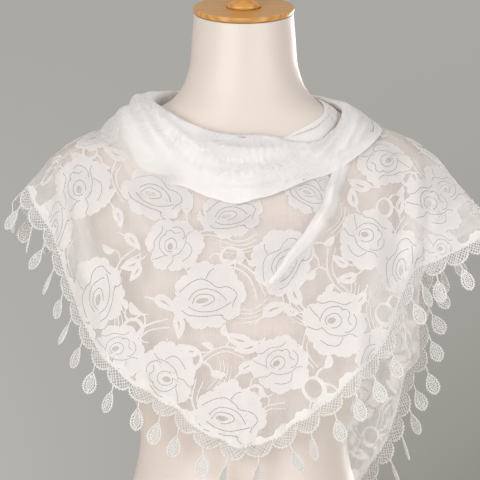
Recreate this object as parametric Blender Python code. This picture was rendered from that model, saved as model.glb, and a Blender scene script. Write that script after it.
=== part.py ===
"""Lace shawl worn on a limbless dress form, as closed solids.

Metres, +Z up, front towards -Y, +X on the viewer's right. The origin is the centre of the form's flat base.
Angles run round the form in degrees: 0 is the front, 90 the shoulder on +X, 180 the back.
"""

import bmesh
import bpy
import numpy as np

# Driving dimensions of the cloth
CLOTH_WALL = 0.0012
SEAM_GAP = 0.0003
TRIM_GAP = 0.0006
TRIM_END_GAP = 0.0012
SCALLOP_PITCH = 0.029
BAND_DEPTH = 0.004
SCALLOP_DEPTH = 0.010
CORD_LENGTH = 0.008
CORD_HALF_WIDTH = 0.0009
DROP_LENGTH = 0.024
DROP_HALF_WIDTH = 0.0074
ROLL_FULLNESS = 0.012
COWL_OVERLAP = 0.010

# Driving dimensions of the form
NECK_TOP_HEIGHT = 0.7147
NECK_TOP_TILT = 14.0
NECK_TOP_RADIUS = 0.0530
CAP_RADIUS = 0.0535
CAP_THICKNESS = 0.0058

# Sections of the form, from the flat base up to the neck's top
# columns: height, half width, depth in front of the middle, depth behind it, forward tilt in degrees
FORM_SECTIONS = [
    (0.000, 0.1500, 0.1000, 0.1120, 0.0),
    (0.060, 0.1560, 0.1060, 0.1220, 0.0),
    (0.110, 0.1540, 0.1060, 0.1200, 0.0),
    (0.170, 0.1360, 0.0980, 0.1040, 0.0),
    (0.223, 0.1165, 0.0900, 0.0860, 0.0),
    (0.262, 0.1100, 0.0870, 0.0780, 0.0),
    (0.326, 0.1210, 0.0980, 0.0830, 0.0),
    (0.400, 0.1340, 0.1170, 0.0900, 0.0),
    (0.435, 0.1410, 0.1190, 0.0930, 0.0),
    (0.475, 0.1600, 0.1080, 0.0950, 0.0),
    (0.510, 0.1800, 0.0940, 0.0940, 0.0),
    (0.535, 0.1910, 0.0830, 0.0900, 0.0),
    (0.556, 0.1950, 0.0730, 0.0840, 0.0),
    (0.570, 0.1860, 0.0660, 0.0770, 0.0),
    (0.584, 0.1600, 0.0610, 0.0710, 0.0),
    (0.597, 0.1280, 0.0580, 0.0670, 0.0),
    (0.610, 0.1000, 0.0560, 0.0640, 0.0),
    (0.622, 0.0767, 0.0545, 0.0610, 0.0),
    (0.635, 0.0656, 0.0530, 0.0580, 2.0),
    (0.6485, 0.0600, 0.0520, 0.0560, 4.0),
    (0.664, 0.0564, 0.0515, 0.0545, 7.0),
    (0.685, 0.0550, 0.0520, 0.0535, 11.0),
    (NECK_TOP_HEIGHT - SEAM_GAP, NECK_TOP_RADIUS, NECK_TOP_RADIUS, NECK_TOP_RADIUS, NECK_TOP_TILT),
]
FORM_SIDES = 36
CAP_SIDES = 32
FINIAL_SIDES = 20

# The turned knob on the cap; columns: radius, height
FINIAL = [
    (0.0178, 0.000), (0.0185, 0.002), (0.0165, 0.005), (0.0095, 0.009), (0.0085, 0.014),
    (0.0135, 0.020), (0.0168, 0.027), (0.0165, 0.033), (0.0120, 0.039), (0.0050, 0.042),
]

# Lower edge of the front stretch; columns: angle, height
FRONT_HEM = [
    (-90, 0.527), (-85, 0.507), (-80, 0.475), (-75, 0.440), (-70, 0.405), (-60, 0.362), (-50, 0.333),
    (-40, 0.316), (-30, 0.304), (-20, 0.284), (-10, 0.274), (0, 0.269), (10, 0.274), (20, 0.283),
    (30, 0.299), (40, 0.318), (50, 0.344), (58, 0.363), (63, 0.390), (67, 0.430), (71, 0.449),
    (76, 0.456), (82, 0.468), (90, 0.491),
]

# The cowl: the long plain edge folded outward round the neck
# columns: angle, height of the fold, height of the free lower edge, fullness against ROLL_FULLNESS
COWL = [
    (-150, 0.622, 0.590, 0.8), (-120, 0.624, 0.590, 1.0), (-90, 0.619, 0.594, 1.3), (-70, 0.612, 0.566, 1.3),
    (-56, 0.600, 0.536, 1.2), (-38, 0.586, 0.531, 1.1), (-20, 0.580, 0.519, 1.0), (-5, 0.578, 0.514, 1.0),
    (10, 0.579, 0.519, 1.0), (27, 0.578, 0.528, 0.9), (41, 0.573, 0.538, 0.8), (52, 0.574, 0.545, 0.7),
    (62, 0.585, 0.558, 0.7), (76, 0.602, 0.580, 0.7), (90, 0.611, 0.595, 0.7), (120, 0.620, 0.592, 0.8),
    (150, 0.622, 0.590, 0.8),
]

# Section of the cowl beneath the fold and over it
# columns: share of the run from the fold down to its end, lift against the fullness
COWL_UNDER = [(1.0, 0.12), (0.55, 0.20), (0.15, 0.32)]
COWL_OVER = [(-0.10, 0.72), (0.06, 1.10), (0.28, 1.30), (0.52, 1.16), (0.78, 0.86), (1.0, 0.62)]

# The narrow inner turn of the plain edge at the neck's +X side; columns: angle, height of its upper edge
NECK_BAND = [(34, 0.5835), (45, 0.590), (60, 0.601), (75, 0.614), (90, 0.6225), (104, 0.625)]

# Outlines of the two ends that hang behind; columns: height, angle of the trimmed edge, angle of the plain edge
TAIL_RIGHT = [
    (0.600, 90, 150), (0.491, 90, 150), (0.480, 96, 150), (0.458, 101, 150), (0.428, 101, 150), (0.347, 101, 151),
    (0.323, 106, 151), (0.2915, 108, 150), (0.250, 112, 149), (0.223, 117, 148), (0.160, 129, 146),
    (0.100, 138, 144),
]
TAIL_LEFT = [
    (0.600, 90, 150), (0.527, 90, 150), (0.512, 96, 150), (0.490, 103, 150), (0.455, 110, 150), (0.410, 116, 150),
    (0.350, 121, 150), (0.300, 122, 150), (0.250, 124, 149), (0.170, 133, 147), (0.110, 139, 145),
]

# Largest folds of the front; columns: x and z of one end, x and z of the other, height, half width
FRONT_FOLDS = [
    (0.112, 0.588, 0.091, 0.528, 0.0050, 0.008),
    (0.091, 0.528, 0.079, 0.494, 0.0050, 0.008),
    (0.079, 0.494, 0.030, 0.440, 0.0045, 0.009),
    (-0.144, 0.570, -0.097, 0.485, 0.0040, 0.010),
    (-0.172, 0.520, -0.158, 0.440, 0.0050, 0.010),
    (-0.190, 0.540, -0.186, 0.470, 0.0040, 0.008),
    (-0.060, 0.478, 0.045, 0.486, 0.0035, 0.012),
    (-0.085, 0.440, 0.010, 0.425, 0.0030, 0.014),
    (0.140, 0.560, 0.132, 0.430, 0.0040, 0.012),
    (0.178, 0.550, 0.176, 0.470, 0.0045, 0.010),
]


def smooth(rows, column, at):
    """One column of a table, read at the given first-column values with no overshoot between the rows."""
    known = np.array(sorted(rows), dtype=float)
    x, y = known[:, 0], known[:, column]
    step = np.diff(x)
    slope = np.diff(y) / step
    pull = np.zeros(len(x))
    same_way = slope[:-1] * slope[1:] > 0
    pull[1:-1][same_way] = 2 * slope[:-1][same_way] * slope[1:][same_way] / (slope[:-1] + slope[1:])[same_way]
    at = np.clip(np.asarray(at, dtype=float), x[0], x[-1])
    i = np.clip(np.searchsorted(x, at) - 1, 0, len(x) - 2)
    t = (at - x[i]) / step[i]
    start = (1 + 2 * t) * (1 - t) ** 2 * y[i] + t * (1 - t) ** 2 * step[i] * pull[i]
    end = t * t * (3 - 2 * t) * y[i + 1] - t * t * (1 - t) * step[i] * pull[i + 1]
    return start + end


def ease(value, low, high):
    """0 below low, 1 above high, and smooth between them."""
    t = np.clip((value - low) / (high - low), 0, 1)
    return t * t * (3 - 2 * t)


# The hanging section at each height: as wide as the widest section of the form at or above it
LEVELS = np.linspace(0.0, 0.64, 321)
HANGING_INWARD = 0.06
BUST_HEIGHT = 0.42
COVER_WIDTH = np.maximum.accumulate(smooth(FORM_SECTIONS, 1, LEVELS)[::-1])[::-1]
COVER_FRONT = np.maximum.accumulate(smooth(FORM_SECTIONS, 2, LEVELS)[::-1])[::-1]
COVER_BACK = np.maximum.accumulate(smooth(FORM_SECTIONS, 3, LEVELS)[::-1])[::-1]

# Where the cloth passes the shoulder's end it stands out; outward run for each metre of drop, reach in degrees
SHOULDER_END_HEIGHT = 0.566
FLARE_MIDDLE = 92.0
FLARE_RUN_LEFT, FLARE_REACH_LEFT = 0.85, 8.0
FLARE_RUN_RIGHT, FLARE_REACH_RIGHT = 0.79, 15.0
FLARE_REACH_BEHIND = 9.0
FLARE_FULL_DROP, FLARE_ENDS_DROP = 0.085, 0.150


def flare(angle, z):
    """Extra width where the cloth stands out past a shoulder's end."""
    left = angle < 0
    run = np.where(left, FLARE_RUN_LEFT, FLARE_RUN_RIGHT)
    reach = np.where(left, FLARE_REACH_LEFT, FLARE_REACH_RIGHT)
    beyond = np.abs(angle) - FLARE_MIDDLE
    reach = np.where(beyond > 0, FLARE_REACH_BEHIND, reach)
    drop = np.clip(SHOULDER_END_HEIGHT - z, 0, None)
    fading = 1 - ease(drop, FLARE_FULL_DROP, FLARE_ENDS_DROP)
    return run * drop * fading * np.exp(-((beyond / reach) ** 2))


def cover(angle, z):
    """Points of the surface that the cloth hangs on."""
    width = np.interp(z, LEVELS, COVER_WIDTH) + flare(angle, z)
    front = np.interp(z, LEVELS, COVER_FRONT) - HANGING_INWARD * np.clip(BUST_HEIGHT - z, 0, None)
    back = np.interp(z, LEVELS, COVER_BACK)
    turn = np.radians(angle)
    depth = np.where(np.cos(turn) > 0, front, back)
    radius = 1 / np.hypot(np.sin(turn) / width, np.cos(turn) / depth)
    return np.stack([radius * np.sin(turn), -radius * np.cos(turn), z], axis=-1)


def unit(vectors):
    return vectors / np.linalg.norm(vectors, axis=-1, keepdims=True)


def lifted(angle, z, lift):
    """Points that lie clear of the cover by a distance along its outward direction."""
    turn_step, rise_step = 0.5, 0.002
    along = cover(angle + turn_step, z) - cover(angle - turn_step, z)
    up = cover(angle, z + rise_step) - cover(angle, z - rise_step)
    outward = unit(np.cross(along, up))
    return cover(angle, z) + outward * np.asarray(lift)[..., None]


def down_the_cover(angles, tops, bottoms, shares):
    """Heights, a row for each angle, that divide the run from top to bottom over the cover by the given shares."""
    samples = 120
    heights = []
    for angle, top, bottom in zip(angles, tops, bottoms):
        z = np.linspace(top, bottom, samples)
        points = cover(np.full(samples, angle), z)
        run = np.concatenate([[0], np.cumsum(np.linalg.norm(np.diff(points, axis=0), axis=1))])
        heights.append(np.interp(np.asarray(shares) * run[-1], run, z))
    return np.array(heights)


def ridge(points, row):
    """Height of one straight fold at each point, seen from the front."""
    x0, z0, x1, z1, height, half_width = row
    run = np.array([x1 - x0, z1 - z0])
    length = np.linalg.norm(run)
    across = points[..., [0, 2]] - np.array([x0, z0])
    along = across @ run / length
    beyond = np.maximum(0, np.maximum(-along, along - length))
    aside = (across[..., 0] * run[1] - across[..., 1] * run[0]) / length
    return height * np.exp(-(aside**2 + beyond**2) / half_width**2)


SHARP_ANGLE = 40.0


def material(name, colour, roughness):
    made = bpy.data.materials.new(name)
    made.use_nodes = True
    shader = made.node_tree.nodes["Principled BSDF"]
    shader.inputs["Base Color"].default_value = (*colour, 1)
    shader.inputs["Roughness"].default_value = roughness
    shader.inputs["Metallic"].default_value = 0
    return made


def add_object(name, vertices, faces, look):
    mesh = bpy.data.meshes.new(name)
    mesh.from_pydata([tuple(v) for v in vertices], [], faces)
    mesh.validate()
    made = bpy.data.objects.new(name, mesh)
    bpy.context.scene.collection.objects.link(made)
    mesh.materials.append(look)
    mesh.shade_smooth()
    mesh.set_sharp_from_angle(angle=np.radians(SHARP_ANGLE))
    return made


def outward_faces(made):
    """Turns the faces of a closed body to point out."""
    work = bmesh.new()
    work.from_mesh(made.data)
    bmesh.ops.recalc_face_normals(work, faces=work.faces)
    work.to_mesh(made.data)
    work.free()


def add_loft(name, rings, look):
    """A closed body through rings of equal point count, with a flat face at each end."""
    sides = len(rings[0])
    vertices = np.concatenate(rings)
    faces = []
    for ring in range(len(rings) - 1):
        for side in range(sides):
            a = ring * sides + side
            b = ring * sides + (side + 1) % sides
            faces.append((a, b, b + sides, a + sides))
    faces.append(tuple(range(sides))[::-1])
    faces.append(tuple(range(len(vertices) - sides, len(vertices))))
    made = add_object(name, vertices, faces, look)
    outward_faces(made)
    return made


def halved(vertices, faces, outward):
    """Each four-sided face as two triangles, across the diagonal that leaves both turned most nearly outward."""
    triangles = []
    for a, b, c, d in faces:
        middle = unit(outward[[a, b, c, d]].sum(axis=0))
        scores = []
        for pair in (((a, b, c), (a, c, d)), ((a, b, d), (b, c, d))):
            facing = [
                np.dot(unit(np.cross(vertices[q] - vertices[p], vertices[r] - vertices[p])), middle)
                for p, q, r in pair
            ]
            scores.append((abs(sum(facing)) - abs(facing[0] - facing[1]), pair))
        triangles.extend(max(scores)[1])
    return triangles


def add_wall(name, vertices, faces, outward, look):
    """Cloth: a sheet given its thickness along its own outward directions, closed at every edge."""
    faces = halved(vertices, faces, outward)
    half = CLOTH_WALL / 2
    count = len(vertices)
    both = np.concatenate([vertices + outward * half, vertices - outward * half])
    edge_use = {}
    for face in faces:
        for a, b in zip(face, face[1:] + face[:1]):
            edge_use[(a, b)] = (b, a) not in edge_use
            if (b, a) in edge_use:
                edge_use[(b, a)] = False
    rim = [(b, a, a + count, b + count) for (a, b), alone in edge_use.items() if alone]
    inner = [tuple(corner + count for corner in reversed(face)) for face in faces]
    made = add_object(name, both, list(faces) + inner + rim, look)
    outward_faces(made)
    return made


def grid_faces(rows, columns):
    return [
        (r * columns + c, r * columns + c + 1, (r + 1) * columns + c + 1, (r + 1) * columns + c)
        for r in range(rows - 1)
        for c in range(columns - 1)
    ]


def grid_directions(points):
    """Unit directions square to a grid of points, turned away from the middle of the form."""
    first, second = points[:-1, :-1], points[1:, :-1]
    third, fourth = points[1:, 1:], points[:-1, 1:]
    facing = unit(np.cross(third - first, fourth - second))
    square = np.zeros_like(points)
    square[:-1, :-1] += facing
    square[1:, :-1] += facing
    square[1:, 1:] += facing
    square[:-1, 1:] += facing
    square = unit(square)
    from_axis = points * np.array([1.0, 1.0, 0.0])
    return square * np.sign(np.sum(square * from_axis))


def add_cloth(name, points, look):
    rows, columns = points.shape[:2]
    square = grid_directions(points)
    add_wall(name, points.reshape(-1, 3), grid_faces(rows, columns), square.reshape(-1, 3), look)
    return square


def form_ring(row):
    height, half_width, front, back, tilt = row
    turn = np.linspace(0, 2 * np.pi, FORM_SIDES, endpoint=False)
    depth = np.where(np.cos(turn) > 0, front, back)
    radius = 1 / np.hypot(np.sin(turn) / half_width, np.cos(turn) / depth)
    y = -radius * np.cos(turn)
    return np.stack([radius * np.sin(turn), y, height + y * np.tan(np.radians(tilt))], axis=-1)


def make_form(look):
    """The form's rings stand at the table's heights and midway between them."""
    heights = np.array([row[0] for row in FORM_SECTIONS])
    levels = np.sort(np.concatenate([heights, (heights[1:] + heights[:-1]) / 2]))
    columns = [smooth(FORM_SECTIONS, column, levels) for column in range(1, 5)]
    add_loft("form_torso", [form_ring(row) for row in zip(levels, *columns)], look)


def turned_rings(profile, sides):
    """Rings of a turned piece about its own upright axis; profile columns: radius, height."""
    turn = np.linspace(0, 2 * np.pi, sides, endpoint=False)
    return [
        np.stack([radius * np.sin(turn), -radius * np.cos(turn), np.full(sides, rise)], axis=-1)
        for radius, rise in profile
    ]


def stand_on_neck(made, rise):
    """Places a turned piece on the neck's top, which leans forward."""
    tilt = np.radians(NECK_TOP_TILT)
    made.rotation_euler = (tilt, 0, 0)
    made.location = (0, -rise * np.sin(tilt), NECK_TOP_HEIGHT + rise * np.cos(tilt))


def make_cap(look):
    edge = CAP_THICKNESS / 4
    profile = [
        (CAP_RADIUS - edge, 0.0),
        (CAP_RADIUS, edge),
        (CAP_RADIUS, CAP_THICKNESS - edge),
        (CAP_RADIUS - edge, CAP_THICKNESS),
    ]
    stand_on_neck(add_loft("form_neck_cap", turned_rings(profile, CAP_SIDES), look), 0.0)


def make_finial(look):
    stand_on_neck(add_loft("form_finial", turned_rings(FINIAL, FINIAL_SIDES), look), CAP_THICKNESS + SEAM_GAP)


# How far the cloth's middle lies off the form where it rests, and where it hangs free
RESTING_LIFT = 0.0010
HANGING_LIFT = 0.0040
HEM_WAVE = 0.0045
HEM_WAVES_A_TURN = 9.0

# The narrow inner turn stands just clear of the cowl's fold
BAND_CLEARANCE = 0.004
BAND_LEAST_WIDTH = 0.004
BAND_LIFT = 0.0016

# The ends start just behind the shoulders' seam, and take their pleats below it
SHOULDER = 90.0
SEAM_TURN = 0.17
PLEAT_DEPTH = 0.007
PLEAT_TOP, PLEAT_FULL = 0.55, 0.43
PLEAT_DRIFT = 5.0
TAIL_REST, TAIL_CLEAR = 0.60, 0.55


def front_lift(points, angle, share):
    """Lift of the front stretch: resting at the top, then free, with its folds and its uneven hem."""
    lift = RESTING_LIFT + (HANGING_LIFT - RESTING_LIFT) * ease(share, 0.02, 0.35)
    for row in FRONT_FOLDS:
        lift = lift + ridge(points, row) * ease(share, 0.05, 0.16)
    turn = np.radians(angle)
    wave = 0.5 + 0.5 * np.sin(HEM_WAVES_A_TURN * turn + 1.6 * np.sin(2.3 * turn + 0.8))
    return lift + HEM_WAVE * wave * ease(share, 0.35, 1.0)


def make_front(look):
    columns, rows = 37, 19
    angle = np.linspace(-90, 90, columns)
    tops = smooth(COWL, 2, angle) + COWL_OVERLAP
    hems = smooth(FRONT_HEM, 1, angle)
    share = np.linspace(0, 1, rows)
    z = down_the_cover(angle, tops, hems, share)
    around = np.repeat(angle[:, None], rows, axis=1)
    down = np.repeat(share[None, :], columns, axis=0)
    points = lifted(around, z, front_lift(cover(around, z), around, down))
    square = add_cloth("shawl_front", points, look)
    return points[:, -1], square[:, -1], points[:, -2]


def make_cowl(name, first, last, columns, look):
    """A stretch of the cowl: up from the front stretch, over the fold, and down to the free plain edge."""
    angle = np.linspace(first, last, columns)
    listed = (angle + 180) % 360 - 180
    fold = smooth(COWL, 1, listed)
    edge = smooth(COWL, 2, listed)
    fullness = ROLL_FULLNESS * smooth(COWL, 3, listed)
    beneath = edge + COWL_OVERLAP + CLOTH_WALL
    heights = [fold + (beneath - fold) * share for share, _ in COWL_UNDER]
    heights += [fold + (edge - fold) * share for share, _ in COWL_OVER]
    lifts = [fullness * lift for _, lift in COWL_UNDER + COWL_OVER]
    z = np.stack(heights, axis=1)
    around = np.repeat(angle[:, None], z.shape[1], axis=1)
    lift = np.stack(lifts, axis=1)
    add_cloth(name, lifted(around, z, lift), look)


def make_neck_band(look):
    columns, rows = 12, 4
    angle = np.linspace(NECK_BAND[0][0], NECK_BAND[-1][0], columns)
    upper = smooth(NECK_BAND, 1, angle)
    lower = np.minimum(smooth(COWL, 1, angle) + BAND_CLEARANCE, upper - BAND_LEAST_WIDTH)
    share = np.linspace(0, 1, rows)
    z = upper[:, None] + (lower - upper)[:, None] * share
    around = np.repeat(angle[:, None], rows, axis=1)
    add_cloth("shawl_neck_band", lifted(around, z, np.full(z.shape, BAND_LIFT)), look)


def make_tail(name, outline, side, pleats, look):
    """One end of the shawl: over the shoulder and down the back, with upright pleats."""
    upper_rows, lower_rows, columns = 5, 16, 15
    top, junction, tip = outline[0][0], outline[1][0], outline[-1][0]
    z = np.concatenate([
        np.linspace(top, junction, upper_rows, endpoint=False),
        np.linspace(junction, tip, lower_rows),
    ])
    outer = smooth([(row[0], row[1]) for row in outline], 1, z)
    inner = smooth([(row[0], row[2]) for row in outline], 1, z)
    across = np.linspace(0, 1, columns)
    angle = outer[:, None] + (inner - outer)[:, None] * across
    angle = np.maximum(angle, SHOULDER + SEAM_TURN)
    z = np.repeat(z[:, None], columns, axis=1)
    spread = ((inner - outer) / (inner - outer).max())[:, None]
    depth = PLEAT_DEPTH * (1 - ease(z, PLEAT_FULL, PLEAT_TOP)) * spread
    pleat = 0.5 + 0.5 * np.sin(2 * np.pi * pleats * across[None, :] + PLEAT_DRIFT * z)
    clear = (HANGING_LIFT - RESTING_LIFT) * (1 - ease(z, TAIL_CLEAR, TAIL_REST))
    lift = RESTING_LIFT + clear + depth * pleat
    points = lifted(side * angle, z, lift)
    if side > 0:
        points = points[:, ::-1]
    square = add_cloth(name, points, look)
    edge = -1 if side > 0 else 0
    inside = -2 if side > 0 else 1
    free = slice(upper_rows, None)
    return points[free, edge], square[free, edge], points[free, inside]


def whole_edge(stretches):
    """The trimmed edges joined end to end, with the direction that the trim takes from each of their points."""
    points = np.concatenate([stretch[0] for stretch in stretches])
    square = np.concatenate([stretch[1] for stretch in stretches])
    inside = np.concatenate([stretch[2] for stretch in stretches])
    along = unit(np.gradient(points, axis=0))
    out = np.cross(square, along)
    out = unit(out * np.sign(np.sum(out * (points - inside), axis=1))[:, None])
    for _ in range(3):
        out[1:-1] = unit(out[:-2] + 2 * out[1:-1] + out[2:])
    return points, square, out


# How far the drops hang away from the edge and from the form, for each metre down
SPLAY = 0.7
LEAN = 0.25

# Shares along one scallop; the cord hangs from between the middle two
SCALLOP_STATIONS = [0.0, 0.15, 0.47, 0.53, 0.85]

# A cord and its drop; columns: distance below the scallop, half width
HANGING = [
    (CORD_LENGTH, CORD_HALF_WIDTH),
    (CORD_LENGTH + 0.22 * DROP_LENGTH, 0.60 * DROP_HALF_WIDTH),
    (CORD_LENGTH + 0.58 * DROP_LENGTH, DROP_HALF_WIDTH),
    (CORD_LENGTH + 0.86 * DROP_LENGTH, 0.70 * DROP_HALF_WIDTH),
    (CORD_LENGTH + DROP_LENGTH, 0.20 * DROP_HALF_WIDTH),
]


def add_trim(name, edge, first, last, look):
    """Scallops along the edge from one of its points to another, each with a cord and a drop under its middle."""
    points, square, out = (values[first : last + 1] for values in edge)
    run = np.concatenate([[0], np.cumsum(np.linalg.norm(np.diff(points, axis=0), axis=1))])
    scallops = max(1, round(run[-1] / SCALLOP_PITCH))
    pitch = (run[-1] - 2 * TRIM_END_GAP) / scallops

    def place(along):
        def read(values):
            return np.array([np.interp(along, run, values[:, axis]) for axis in range(3)])

        return read(points), unit(read(out)), unit(read(square))

    vertices, outward, faces = [], [], []

    def add(point, direction):
        vertices.append(point)
        outward.append(direction)
        return len(vertices) - 1

    def edge_pair(scallop, share):
        base, away, face_way = place(TRIM_END_GAP + (scallop + share) * pitch)
        depth = BAND_DEPTH + SCALLOP_DEPTH * np.sqrt(max(0.0, 1 - (2 * share - 1) ** 2))
        upper = add(base + away * TRIM_GAP, face_way)
        lower = add(base + away * depth, face_way)
        return upper, lower

    pairs = []
    for scallop in range(scallops):
        for share in SCALLOP_STATIONS:
            pairs.append(edge_pair(scallop, share))
    pairs.append(edge_pair(scallops - 1, 1.0))
    for before, after in zip(pairs, pairs[1:]):
        faces.append((before[0], after[0], after[1], before[1]))
    down = np.array([0.0, 0.0, -1.0])
    level = np.array([1.0, 1.0, 0.0])
    for scallop in range(scallops):
        first = pairs[scallop * len(SCALLOP_STATIONS) + 2][1]
        second = pairs[scallop * len(SCALLOP_STATIONS) + 3][1]
        _, away, face_way = place(TRIM_END_GAP + (scallop + 0.5) * pitch)
        root = (vertices[first] + vertices[second]) / 2
        side_way = unit(vertices[second] - vertices[first])
        hang = unit(down + level * (SPLAY * away + LEAN * face_way))
        side_way = unit(side_way - hang * np.dot(side_way, hang))
        facing = unit(np.cross(side_way, hang))
        facing = facing * np.sign(np.dot(facing, face_way))
        above = (first, second)
        for fall, half_width in HANGING:
            centre = root + hang * fall
            left = add(centre - side_way * half_width, facing)
            right = add(centre + side_way * half_width, facing)
            faces.append((above[0], above[1], right, left))
            above = (left, right)
    add_wall(name, np.array(vertices), faces, np.array(outward), look)


# Where the two stretches of the cowl meet, in degrees, and the point of the front's hem below the right shoulder
COWL_JOIN = 104.0
NOTCH_POINT = 31


def make_shawl():
    lace = material("ivory lace cloth", (0.86, 0.85, 0.82), 0.75)
    plain = material("ivory lace folded double", (0.90, 0.89, 0.86), 0.7)
    guipure = material("ivory corded lace trim", (0.92, 0.91, 0.88), 0.6)
    hem = make_front(lace)
    make_cowl("shawl_cowl_front", -COWL_JOIN, COWL_JOIN, 37, plain)
    make_cowl("shawl_cowl_nape", COWL_JOIN + 2 * SEAM_TURN, 360 - COWL_JOIN - 2 * SEAM_TURN, 17, plain)
    make_neck_band(plain)
    right_edge = make_tail("shawl_tail_right", TAIL_RIGHT, 1, 3.5, lace)
    left_edge = make_tail("shawl_tail_left", TAIL_LEFT, -1, 2.5, lace)
    left_reversed = tuple(values[::-1] for values in left_edge)
    edge = whole_edge([left_reversed, hem, right_edge])
    front_start = len(left_edge[0])
    front_end = front_start + len(hem[0])
    middle = front_start + len(hem[0]) // 2
    notch = front_start + NOTCH_POINT
    add_trim("trim_tail_left", edge, 0, front_start - 1, guipure)
    add_trim("trim_front_left", edge, front_start, middle, guipure)
    add_trim("trim_front_right", edge, middle, notch, guipure)
    add_trim("trim_shoulder_right", edge, notch, front_end - 1, guipure)
    add_trim("trim_tail_right", edge, front_end, len(edge[0]) - 1, guipure)


def clear_scene():
    for old in list(bpy.data.objects):
        bpy.data.objects.remove(old, do_unlink=True)


clear_scene()
shell = material("cream form", (0.83, 0.76, 0.69), 0.45)
wood = material("varnished pale wood", (0.72, 0.42, 0.16), 0.35)
make_form(shell)
make_cap(wood)
make_finial(wood)
make_shawl()
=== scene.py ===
"""Lace shawl worn on a limbless dress form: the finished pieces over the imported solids.

Metres, +Z up, front towards -Y, +X on the viewer's right. The origin is the centre of the form's flat base.
Angles run round the form in degrees: 0 is the front, 90 the shoulder on +X, 180 the back.
"""

import math

import bmesh
import bpy
import numpy as np
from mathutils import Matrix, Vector
from mathutils.geometry import delaunay_2d_cdt


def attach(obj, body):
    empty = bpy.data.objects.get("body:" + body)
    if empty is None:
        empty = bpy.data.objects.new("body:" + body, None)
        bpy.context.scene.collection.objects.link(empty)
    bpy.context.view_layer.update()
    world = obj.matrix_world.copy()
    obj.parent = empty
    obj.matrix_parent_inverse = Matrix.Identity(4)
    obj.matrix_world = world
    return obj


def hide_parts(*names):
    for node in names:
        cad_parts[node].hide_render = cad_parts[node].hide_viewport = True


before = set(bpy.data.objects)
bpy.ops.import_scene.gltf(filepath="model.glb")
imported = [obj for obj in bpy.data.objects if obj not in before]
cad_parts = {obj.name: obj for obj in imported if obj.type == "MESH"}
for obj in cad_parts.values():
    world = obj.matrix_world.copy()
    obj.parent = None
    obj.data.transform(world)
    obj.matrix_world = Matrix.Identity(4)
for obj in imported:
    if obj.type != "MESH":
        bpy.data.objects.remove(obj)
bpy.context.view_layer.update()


# The form
# A moulded half body without limbs, one smooth hollow skin of cream resin that stands on its cut hips.
# The neck leans a little forward, and its top is planed flat for the wooden cap.
FORM_SECTIONS = [  # height, half width, depth before the middle, depth behind it, forward tilt in degrees
    (0.000, 0.1500, 0.1000, 0.1120, 0.0), (0.060, 0.1560, 0.1060, 0.1220, 0.0),
    (0.110, 0.1540, 0.1060, 0.1200, 0.0), (0.170, 0.1360, 0.0980, 0.1040, 0.0),
    (0.223, 0.1165, 0.0900, 0.0860, 0.0), (0.262, 0.1100, 0.0870, 0.0780, 0.0),
    (0.326, 0.1210, 0.0980, 0.0830, 0.0), (0.400, 0.1340, 0.1170, 0.0900, 0.0),
    (0.435, 0.1410, 0.1190, 0.0930, 0.0), (0.475, 0.1600, 0.1080, 0.0950, 0.0),
    (0.510, 0.1800, 0.0940, 0.0940, 0.0), (0.535, 0.1910, 0.0830, 0.0900, 0.0),
    (0.556, 0.1950, 0.0730, 0.0840, 0.0), (0.570, 0.1860, 0.0660, 0.0770, 0.0),
    (0.584, 0.1600, 0.0610, 0.0710, 0.0), (0.597, 0.1280, 0.0580, 0.0670, 0.0),
    (0.610, 0.1000, 0.0560, 0.0640, 0.0), (0.622, 0.0767, 0.0545, 0.0610, 0.0),
    (0.635, 0.0656, 0.0530, 0.0580, 2.0), (0.6485, 0.0600, 0.0520, 0.0560, 4.0),
    (0.664, 0.0564, 0.0515, 0.0545, 7.0), (0.685, 0.0550, 0.0520, 0.0535, 11.0),
    (0.7144, 0.0530, 0.0530, 0.0530, 14.0),
]
FORM_SIDES = 128
RINGS_BETWEEN_SECTIONS = 6
SHARP_EDGE = 50  # degrees


def smooth(rows, column, at):
    """One column of a table, read at the given first-column values with no overshoot between the rows."""
    known = np.array(sorted(rows), dtype=float)
    x, y = known[:, 0], known[:, column]
    step = np.diff(x)
    slope = np.diff(y) / step
    before, after = slope[:-1], slope[1:]
    same_way = before * after > 0
    pull = np.zeros(len(x))
    pull[1:-1][same_way] = 2 * before[same_way] * after[same_way] / (before + after)[same_way]
    at = np.clip(np.asarray(at, dtype=float), x[0], x[-1])
    i = np.clip(np.searchsorted(x, at) - 1, 0, len(x) - 2)
    t = (at - x[i]) / step[i]
    start = (1 + 2 * t) * (1 - t) ** 2 * y[i] + t * (1 - t) ** 2 * step[i] * pull[i]
    end = t * t * (3 - 2 * t) * y[i + 1] - t * t * (1 - t) * step[i] * pull[i + 1]
    return start + end


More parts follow.
